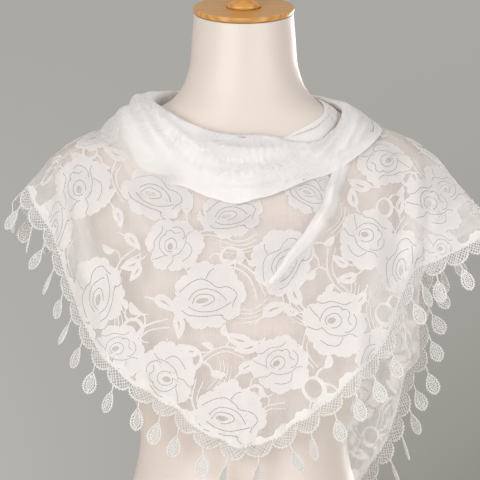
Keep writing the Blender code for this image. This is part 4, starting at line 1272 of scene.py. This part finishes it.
def repeated_layout(cut, shift):
    """The lace's own repeat over the whole of a piece's flat cut."""
    low, high = cut.reshape(-1, 2).min(axis=0), cut.reshape(-1, 2).max(axis=0)
    columns, rows = (2 + int((high[k] - low[k]) / FLOWER_REPEAT[k]) for k in (0, 1))
    layout = []
    for i in range(-1, columns):
        for j in range(-1, rows):
            for kind, across, up, turn, size in REPEAT:
                u = low[0] + shift[0] + i * FLOWER_REPEAT[0] + across / MM_A_METRE
                v = low[1] + shift[1] + j * FLOWER_REPEAT[1] + up / MM_A_METRE
                near_across = low[0] - REPEAT_MARGIN < u < high[0] + REPEAT_MARGIN
                if near_across and low[1] - REPEAT_MARGIN < v < high[1] + REPEAT_MARGIN:
                    layout.append((kind, u, v, turn + REPEAT_TURN * ((i + 2 * j) % REPEAT_TURNS), size))
    return layout


front_flowers = draped_flowers("lace_flowers_front", front_layout(), front_sheet, "cloth")
cowl_cut = measured_cut(cowl_points)
cowl_layout = [
    row for row in repeated_layout(cowl_cut, (0.01, 0.02))
    if row[1] > COWL_BARE_EDGE[0] or row[2] > cowl_cut[..., 1].min() + COWL_BARE_EDGE[1]
]
cowl_flowers = draped_flowers("lace_flowers_cowl", cowl_layout, cowl_sheet, "folded_cloth")
nape_layout = repeated_layout(measured_cut(nape_points), (0.03, 0.01))
nape_flowers = draped_flowers("lace_flowers_nape", nape_layout, nape_sheet, "folded_cloth")
right_layout = repeated_layout(right_tail_cut, (0.02, 0.03))
right_tail_flowers = draped_flowers("lace_flowers_tail_right", right_layout, right_tail_sheet, "cloth")
left_layout = repeated_layout(left_tail_cut, (0.05, 0.00))
left_tail_flowers = draped_flowers("lace_flowers_tail_left", left_layout, left_tail_sheet, "cloth")
BAND_HEM = [  # the neck band's hem, then the lace below it
    (LADDER, 0.022, -0.0052, 0, 1.0), (LADDER, 0.046, -0.0058, 0, 1.0), (LADDER, 0.070, -0.0064, 0, 1.0),
    (SIDE, 0.066, -0.030, 20, 0.7), (LEAF, 0.040, -0.012, 10, 0.5), (STEMS, 0.058, -0.004, 5, 0.5),
]
band_hem = draped_flowers("lace_hem_neck_band", BAND_HEM, band_sheet, "trim")
for motif in motifs:
    bpy.data.objects.remove(motif)


# The corded trim
# Guipure scallops of corded cotton sewn along the shaped edges: a close band, a lattice and a corded rim
# with picots. Below each one a short cord holds a flat lace drop, which swings and turns its own way.
SCALLOP_PITCH, TRIM_END_GAP = 0.029, 0.0003
BAND_DEPTH, SCALLOP_DEPTH, BAND_RISE = 0.004, 0.010, 0.0056
DEPTH_RANGE = (1.0, 1.22)
LATTICE_PITCH, LATTICE_WIDTH, LATTICE_CROWN, LATTICE_LEANS = 0.0026, 0.00100, 0.00034, (40, -44)
LATTICE_DRIFT, LATTICE_DRIFT_RATE, CLIP_SPOTS, CLIP_LEAST = 0.12, 3000, 90, 4
CORD_RADIUS, FINE_CORD_RADIUS, PICOT_RADIUS = 0.00085, 0.0005, 0.00078
RIM_POINTS, RIM_INSET, SCALLOP_FOOT = 27, 0.6, 0.0004
PICOTS, PICOTS_FROM, PICOTS_TO, PICOT_ASIDE, PICOT_BELOW = 11, 0.93, 0.07, 0.0001, 0.0002
BAND_STEPS, BAND_TOP, BAND_FOOT, BAND_FOOT_WAVE, BAND_STAND_OFF = 14, 0.0016, 0.0016, 0.0009, 0.0001
BAND_LOBE_POWER, BAND_LOBE_WAVE = 1.3, 0.16
BAND_SWELL = [(0.0, 0.0006), (0.45, 0.0004), (0.85, 0.0002), (1.0, 0.0)]  # share of the band's depth, swell
CORD_LENGTH, CORD_HALF_WIDTH, DROP_LENGTH, DROP_HALF_WIDTH = 0.008, 0.0009, 0.024, 0.0074
DROP_SHAPE = [  # share of the length, share of the half width
    (0.0, 0.07), (0.10, 0.30), (0.22, 0.58), (0.40, 0.86), (0.58, 1.0), (0.74, 0.96), (0.88, 0.68),
    (0.96, 0.36), (1.0, 0.0),
]
DROP_LATTICE_INSET, DROP_LATTICE_PITCH, DROP_LATTICE_LEANS = 0.0037, 0.0020, (48, -48)
DROP_RAYS_FROM, DROP_RAYS_TO, DROP_RAYS, DROP_PICOT_INSET = 0.0013, 0.0036, 20, -0.0001
DROP_SPLAY, DROP_LEAN, DROP_SWAY, DROP_TWIST = 0.42, 0.28, 0.22, 1.0
SQUARE_EVENINGS, AWAY_EVENINGS = 6, 12


def corded_finish():
    """Matt white corded cotton, wound thread over thread, with tiny shadows between the turns: raised by the
    bump, and painted darker into the colour as well.
    """
    finish, wire, shader = new_finish("corded cotton trim", 0.78, sheen_weight=0.2)
    place = wire.node("ShaderNodeTexCoord", output="Object")
    turns, cloud = noise(place, 1500.0, 2.0), noise(place, 90.0, 2.0)
    # painted shade: the colour darkens where the turns sink, with the same noise that raises them
    feed(shader, "Base Color", between(0.55 * turns + 0.45 * cloud, (0.89, 0.88, 0.87), (0.955, 0.95, 0.945)))
    emboss(shader, turns, 0.8, 0.0003)
    lit_through(shader, 0.32, (0.97, 0.96, 0.955))
    return finish


class Parts:
    """Vertices and faces of several small shapes gathered into one mesh."""

    def __init__(self):
        self.vertices, self.faces = [], []

    def add(self, vertices, faces):
        start = len(self.vertices)
        self.vertices.extend(tuple(v) for v in vertices)
        self.faces.extend(tuple(start + i for i in face) for face in faces)

    def tube(self, path, radius, sides=5, closed=False):
        """A round cord along a flat path."""
        path = np.array([(x, y, 0.0) for x, y in path])
        round_path = np.roll(path, -1, axis=0) - np.roll(path, 1, axis=0)
        along = unit(round_path if closed else np.gradient(path, axis=0))
        aside = np.stack([-along[:, 1], along[:, 0], np.zeros(len(path))], axis=1)
        turns = np.linspace(0, 2 * np.pi, sides, endpoint=False)
        rings = [path + aside * math.cos(a) * radius + np.array([0, 0, math.sin(a) * radius]) for a in turns]
        vertices = np.stack(rings, axis=1).reshape(-1, 3)
        last = len(path) if closed else len(path) - 1
        faces = []
        for i in range(last):
            j = (i + 1) % len(path)
            for k in range(sides):
                m = (k + 1) % sides
                faces.append((i * sides + k, j * sides + k, j * sides + m, i * sides + m))
        if not closed:
            faces.append(tuple(range(sides)))
            faces.append(tuple((len(path) - 1) * sides + k for k in reversed(range(sides))))
        self.add(vertices, faces)

    def strand(self, start, end):
        """A fine flat-bottomed thread between two places, ridged along its middle."""
        start, end = np.array([*start, 0.0]), np.array([*end, 0.0])
        along = unit(end - start)
        aside = np.array([-along[1], along[0], 0.0]) * LATTICE_WIDTH / 2
        crown = np.array([0.0, 0.0, LATTICE_CROWN])
        ends = [start - aside, start + crown, start + aside, end - aside, end + crown, end + aside]
        below = [start - crown, end - crown]
        self.add([*ends, *below], [(0, 3, 4, 1), (1, 4, 5, 2), (2, 5, 7, 6), (6, 7, 3, 0)])

    def knob(self, middle, radius):
        """A small round knot of thread."""
        middle = np.array([*middle, 0.0])
        ring = [(math.cos(a), math.sin(a), 0.0) for a in np.linspace(0, 2 * np.pi, 6, endpoint=False)]
        upper = [(0.55 * x, 0.55 * y, 0.83) for x, y, _ in ring]
        lower = [(0.55 * x, 0.55 * y, -0.83) for x, y, _ in ring]
        vertices = middle + radius * np.array([*ring, *upper, *lower])
        faces = [(i, (i + 1) % 6, 6 + (i + 1) % 6, 6 + i) for i in range(6)]
        faces += [((i + 1) % 6, i, 12 + i, 12 + (i + 1) % 6) for i in range(6)]
        faces += [tuple(range(6, 12)), tuple(reversed(range(12, 18)))]
        self.add(vertices, faces)

    def piece(self, name):
        made = new_piece(name, self.vertices, self.faces, CORDED)
        turn_faces_out(made)
        return made


CORDED = corded_finish()


def clipped(start, end, outline):
    """The longest stretch of a straight line that lies inside an outline, or None."""
    t = np.linspace(0, 1, CLIP_SPOTS)
    spots = np.array(start) + t[:, None] * (np.array(end) - np.array(start))
    held = np.flatnonzero(inside(spots, outline))
    return (spots[held[0]], spots[held[-1]]) if len(held) >= CLIP_LEAST else None


def lattice(parts, outline, pitch, leans):
    """Crossing threads over an outline, at the leans given in degrees."""
    middle, reach = outline.mean(axis=0), np.ptp(outline, axis=0).max()
    for lean in leans:
        along = np.array([math.cos(math.radians(lean)), math.sin(math.radians(lean))])
        aside = np.array([-along[1], along[0]])
        for offset in np.arange(-reach, reach, pitch):
            drift = LATTICE_DRIFT * pitch * math.sin(offset * LATTICE_DRIFT_RATE + lean)
            start = middle + aside * (offset + drift) - along * reach
            found = clipped(start, start + 2 * along * reach, outline)
            if found is not None:
                parts.strand(*found)


def scallop_unit():
    """A scallop: its corded rim, lattice and picots, and the close-knit band that is sewn onto the cloth."""
    half = SCALLOP_PITCH / 2
    a = np.linspace(np.pi, 0, RIM_POINTS)
    x = (half - CORD_RADIUS * RIM_INSET) * np.cos(a)
    rim = np.stack([x, BAND_DEPTH + (SCALLOP_DEPTH - CORD_RADIUS) * np.sin(a)], axis=1)
    parts = Parts()
    parts.tube(rim, CORD_RADIUS)
    feet = [[half, SCALLOP_FOOT], [-half, SCALLOP_FOOT]]
    lattice(parts, np.concatenate([rim, feet]), LATTICE_PITCH, LATTICE_LEANS)
    for turn in np.linspace(np.pi * PICOTS_FROM, np.pi * PICOTS_TO, PICOTS):
        x = (half + PICOT_ASIDE) * math.cos(turn)
        y = BAND_DEPTH + (SCALLOP_DEPTH + PICOT_BELOW) * math.sin(turn)
        parts.knob((x, y), PICOT_RADIUS)
    steps = range(BAND_STEPS + 1)
    turns = [np.pi * k / BAND_STEPS for k in steps]
    lobes = [math.sin(turn) ** BAND_LOBE_POWER + BAND_LOBE_WAVE * math.cos(6 * turn) for turn in turns]
    top = [-BAND_TOP - BAND_RISE * lobe for lobe in lobes]
    lower = [BAND_FOOT + BAND_FOOT_WAVE * math.sin(9.0 * k) for k in steps]
    lower[-1] = lower[0]
    across = np.linspace(-half, half, BAND_STEPS + 1)
    vertices = [
        (across[k], top[k] + (lower[k] - top[k]) * share, rise + BAND_STAND_OFF)
        for share, rise in BAND_SWELL
        for k in steps
    ]
    parts.add(vertices, grid_faces(len(BAND_SWELL), BAND_STEPS + 1))
    return parts.piece("scallop")


def drop_outline(inset, points=40):
    """The closed outline of a drop, drawn in by a distance from its edge."""
    shape = np.array(DROP_SHAPE)
    turn = np.linspace(0, 2 * np.pi, points, endpoint=False)
    share = 0.5 - 0.5 * np.cos(turn)
    width = np.interp(share, shape[:, 0], shape[:, 1])
    length = DROP_LENGTH - 2 * inset
    x = np.where(turn < np.pi, 1, -1) * width * (DROP_HALF_WIDTH - inset)
    return np.stack([x, CORD_LENGTH + inset + share * length], axis=1)


def drop_unit():
    """A flat lace drop on its cord: a corded edge with picots, rays inside it, and a lattice in its heart."""
    parts = Parts()
    cord = [(0, 0), (0.0002, 0.0025), (-0.0002, 0.0055), (0, CORD_LENGTH + 0.0012)]
    parts.tube(cord, CORD_HALF_WIDTH * 0.8, 6)
    parts.tube(drop_outline(CORD_RADIUS), CORD_RADIUS, 5, closed=True)
    inner = drop_outline(DROP_LATTICE_INSET, 26)
    parts.tube(inner, FINE_CORD_RADIUS * 1.3, 4, closed=True)
    lattice(parts, inner, DROP_LATTICE_PITCH, DROP_LATTICE_LEANS)
    outer, core = drop_outline(DROP_RAYS_FROM, DROP_RAYS), drop_outline(DROP_RAYS_TO, DROP_RAYS)
    for start, end in zip(outer[2:-1], core[2:-1]):
        parts.strand(start, end)
    for x, y in drop_outline(DROP_PICOT_INSET, 28)[5:24]:
        parts.knob((x, y), PICOT_RADIUS)
    return parts.piece("drop")


def trim_tree():
    """Lays scallops end to end along the sewn edge and hangs a drop under the middle of each."""
    inputs = {"Scallop": "Object", "Drop": "Object", "Count": "Int", "Seed": "Int"}
    sizes = ("Start", "Pitch", "Stretch", "Drop top", "Splay", "Lean", "Sway", "Twist")
    entry = new_tree("scallops and drops along an edge", {**inputs, **dict.fromkeys(sizes, "Float")})
    curve = entry.node("GeometryNodeMeshToCurve", {}, {"Mesh": entry})

    def read(name, at):
        """A direction that the edge keeps, at a length along it."""
        return entry.node("GeometryNodeSampleCurve", {"mode": "LENGTH", "data_type": "FLOAT_VECTOR"}, {
            "Curves": curve, "Value": named(entry, name, "FLOAT_VECTOR"), "Length": at,
        }, output="Value")

    def chance(low, high):
        return entry.node("FunctionNodeRandomValue", {"data_type": "FLOAT"}, {
            2: low, 3: high, "Seed": entry["Seed"],
        }, output=1)

    def each_shape(points, title, sockets):
        return entry.node("GeometryNodeInstanceOnPoints", {}, {
            "Points": points, "Instance": shape_of(entry[title]), **sockets,
        })

    half = entry["Start"] + 0.5 * entry["Pitch"]
    line = entry.node("GeometryNodeMeshLine", {"mode": "OFFSET"}, {
        "Count": entry["Count"], "Start Location": vector(entry, x=half),
        "Offset": vector(entry, x=entry["Pitch"]),
    })
    place = entry.node("GeometryNodeInputPosition")
    across = entry.node("ShaderNodeSeparateXYZ", {}, {0: place})
    away, facing = read("away", across), read("facing", across)
    base = away["Position"]

    row = each_shape(line, "Scallop", {"Scale": vector(entry, entry["Stretch"], chance(*DEPTH_RANGE), 1.0)})
    bent = entry.node("GeometryNodeSetPosition", {}, {
        "Geometry": entry.node("GeometryNodeRealizeInstances", {}, {0: row}),
        "Position": added(base, scaled(away, across["Y"]), scaled(facing, across["Z"])),
    })

    sway = entry.node("FunctionNodeRandomValue", {"data_type": "FLOAT_VECTOR"}, {
        "Min": (-1, -1, -1), "Seed": entry["Seed"],
    })
    aside = added(scaled(away, entry["Splay"]), scaled(facing, entry["Lean"]), scaled(sway, entry["Sway"]))
    level = entry.node("ShaderNodeVectorMath", {"operation": "MULTIPLY"}, {0: aside, 1: (1.0, 1.0, 0.0)})
    hang = added(vector(entry, z=-1.0), level)
    held = {"root": "VECTOR", "hang": "VECTOR", "facing": "VECTOR"}
    kept = entry.node("GeometryNodeCaptureAttribute", {"captures": held}, {
        "Geometry": line, "root": added(base, scaled(away, entry["Drop top"])), "facing": facing,
        "hang": entry.node("ShaderNodeVectorMath", {"operation": "NORMALIZE"}, {0: hang}),
    })
    roots = entry.node("GeometryNodeSetPosition", {}, {"Geometry": kept, "Position": kept["root"]})
    turned = entry.node("FunctionNodeAxesToRotation", {"primary_axis": "Y", "secondary_axis": "Z"}, {
        0: kept["hang"], 1: kept["facing"],
    })
    swung = entry.node("FunctionNodeRotateRotation", {"rotation_space": "LOCAL"}, {
        0: turned, 1: vector(entry, y=chance(-1.0, 1.0) * entry["Twist"]),
    })
    hung = each_shape(roots, "Drop", {"Rotation": swung})
    joined = entry.node("GeometryNodeJoinGeometry", {}, {0: [bent, hung]})
    real = entry.node("GeometryNodeRealizeInstances", {}, {0: joined})
    dressed = entry.node("GeometryNodeSetMaterial", {}, {"Geometry": real, "Material": CORDED})
    entry.node("NodeGroupOutput", {}, {0: dressed})
    return entry.tree


def sheet_squares(points):
    """The direction square to a draped grid at each of its points, away from the form."""
    square = unit(np.cross(np.gradient(points, axis=0), np.gradient(points, axis=1)))
    outward = points * np.array([1.0, 1.0, 0.0])
    return square * np.sign(np.sum(square * outward, axis=-1, keepdims=True))


def edge_stretch(points, edge, inner, first=0, backward=False):
    """Edge points of a draped grid, the square direction at each, and their neighbours further in."""
    square = sheet_squares(points)
    found = points[first:, edge], square[first:, edge], points[first:, inner]
    return tuple(values[::-1] for values in found) if backward else found


def evened(directions, rounds):
    """The same directions with each drawn towards its neighbours, and the two ends held."""
    for _ in range(rounds):
        directions[1:-1] = unit(directions[:-2] + 2 * directions[1:-1] + directions[2:])
    return directions


def whole_edge(stretches):
    """The sewn edge from end to end: its points, the square directions, and those away from the cloth."""
    points, square, inner = (np.concatenate([stretch[k] for stretch in stretches]) for k in range(3))
    square = evened(square, SQUARE_EVENINGS)
    out = np.cross(square, unit(np.gradient(points, axis=0)))
    out = unit(out * np.sign(np.sum(out * (points - inner), axis=1))[:, None])
    return points, square, evened(out, AWAY_EVENINGS)


def make_trim(name, node, first, last, seed, splay=DROP_SPLAY, lean=DROP_LEAN):
    points, square, out = (values[first:last + 1] for values in EDGE)
    run = np.linalg.norm(np.diff(points, axis=0), axis=1).sum()
    count = max(1, round(run / SCALLOP_PITCH))
    pitch = (run - 2 * TRIM_END_GAP) / count
    mesh = bpy.data.meshes.new(name)
    mesh.from_pydata([tuple(p) for p in points], [(i, i + 1) for i in range(len(points) - 1)], [])
    carrier = bpy.data.objects.new(name + "_edge", mesh)
    bpy.context.scene.collection.objects.link(carrier)
    for title, values in (("away", out), ("facing", square)):
        layer = mesh.attributes.new(title, "FLOAT_VECTOR", "POINT")
        layer.data.foreach_set("vector", values.reshape(-1))
    made = made_by_tree(name, carrier, TRIM, {
        "Scallop": scallop, "Drop": drop, "Count": count, "Seed": seed, "Start": TRIM_END_GAP, "Pitch": pitch,
        "Stretch": pitch / SCALLOP_PITCH, "Drop top": BAND_DEPTH + SCALLOP_DEPTH, "Splay": splay, "Lean": lean,
        "Sway": DROP_SWAY, "Twist": DROP_TWIST,
    })
    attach(made, "root")
    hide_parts(node)
    return made


NOTCH_ANGLE = 65.0
EDGE = whole_edge([
    edge_stretch(left_tail_points, 0, 1, TAIL_UPPER_ROWS, backward=True),
    edge_stretch(front_points, -1, -2),
    edge_stretch(right_tail_points, 0, 1, TAIL_UPPER_ROWS),
])
TRIM = trim_tree()
scallop, drop = scallop_unit(), drop_unit()
hem_start = len(left_tail_points) - TAIL_UPPER_ROWS
hem_middle = hem_start + len(front_points) // 2
hem_notch = hem_start + int(np.argmin(np.abs(np.linspace(-90, 90, len(front_points)) - NOTCH_ANGLE)))
hem_end = hem_start + len(front_points) - 1
tail_left_trim = make_trim("lace_trim_tail_left", "trim_tail_left", 0, hem_start - 1, 3, splay=0.0, lean=0.05)
front_left_trim = make_trim("lace_trim_front_left", "trim_front_left", hem_start, hem_middle, 5)
front_right_trim = make_trim("lace_trim_front_right", "trim_front_right", hem_middle, hem_notch, 8)
shoulder_right_trim = make_trim("lace_trim_shoulder_right", "trim_shoulder_right", hem_notch, hem_end, 11)
tail_right_trim = make_trim("lace_trim_tail_right", "trim_tail_right", hem_end + 1, len(EDGE[0]) - 1, 13)
bpy.data.objects.remove(scallop)
bpy.data.objects.remove(drop)


# The stage
# A small pale floor, an even grey studio round it, soft wide lights, and the camera at the photograph's angle.
CAMERA_TARGET, CAMERA_DISTANCE, CAMERA_ELEVATION = (-0.004, -0.03, 0.475), 3.0, 3.5
SEEN_HEIGHT, SENSOR_WIDTH = 0.505, 36.0
FLOOR_REACH = 1.3
STUDIO_LIGHT_GREY, STUDIO_DARK_GREY = (0.462, 0.450, 0.424), (0.286, 0.281, 0.250)
STUDIO_TURN, STUDIO_DIP = 0.084, -0.061
STUDIO_FADE, STUDIO_HIGH_SHADE = 0.6, 0.34


def make_floor():
    finish, wire, shader = new_finish("pale floor", 0.8)
    haze = noise(wire.node("ShaderNodeTexCoord", output="Object"), 1.2, 2.0)
    feed(shader, "Base Color", between(haze, (0.74, 0.72, 0.69), (0.79, 0.77, 0.74)))
    r = FLOOR_REACH
    floor = new_piece("floor", [(-r, -r, 0), (r, -r, 0), (r, r, 0), (-r, r, 0)], [(0, 1, 2, 3)], finish)


def make_studio():
    """Grey all round, a little darker low on the right, as soft light leaves a plain wall."""
    world = bpy.data.worlds.new("studio")
    world.use_nodes = True
    wire = Wire(world.node_tree)
    direction = wire.node("ShaderNodeTexCoord", output="Generated")
    across = wire.node("ShaderNodeSeparateXYZ", {}, {0: direction})
    right = wire.sum_of("ADD", across / (2 * STUDIO_TURN), 0.5, clamp=True)
    high = wire.sum_of("ADD", (across["Z"] - STUDIO_DIP) / (2 * STUDIO_TURN), 0.5, clamp=True)
    shade = right * (1.0 - high) * (1.0 - STUDIO_FADE * high) + STUDIO_HIGH_SHADE * high
    feed(world.node_tree.nodes["Background"], "Color", between(shade, STUDIO_LIGHT_GREY, STUDIO_DARK_GREY))
    bpy.context.scene.world = world


def add_light(name, place, aim, size, energy, colour):
    lamp = bpy.data.lights.new(name, "AREA")
    lamp.shape = "RECTANGLE"
    lamp.size, lamp.size_y = size
    lamp.energy = energy
    lamp.color = colour
    holder = bpy.data.objects.new(name, lamp)
    holder.location = place
    holder.rotation_euler = (Vector(aim) - Vector(place)).to_track_quat("-Z", "Y").to_euler()
    bpy.context.scene.collection.objects.link(holder)


def make_lights():
    add_light("key", (-1.6, -2.6, 0.95), (0, 0, 0.38), (2.2, 2.0), 60.0, (1.0, 0.985, 0.965))
    add_light("fill", (1.9, -2.2, 0.7), (0, 0, 0.38), (1.8, 2.0), 32.0, (0.99, 0.985, 1.0))
    add_light("top", (0.0, 0.5, 2.3), (0, 0, 0.5), (1.8, 1.4), 8.0, (1.0, 1.0, 1.0))
    add_light("side behind", (1.3, 1.9, 0.5), (0.14, 0.06, 0.3), (1.4, 1.0), 25.0, (1.0, 0.995, 0.99))


def make_camera():
    eye = bpy.data.cameras.new("camera")
    eye.sensor_width = SENSOR_WIDTH
    eye.lens = SENSOR_WIDTH / 2 * CAMERA_DISTANCE / (SEEN_HEIGHT / 2)
    eye.clip_start = 0.05
    holder = bpy.data.objects.new("camera", eye)
    rise = math.radians(CAMERA_ELEVATION)
    target = Vector(CAMERA_TARGET)
    holder.location = target + CAMERA_DISTANCE * Vector((0, -math.cos(rise), math.sin(rise)))
    holder.rotation_euler = (target - holder.location).to_track_quat("-Z", "Y").to_euler()
    bpy.context.scene.collection.objects.link(holder)
    bpy.context.scene.camera = holder
    bpy.context.scene.view_settings.view_transform = "Standard"


make_floor()
make_studio()
make_lights()
make_camera()
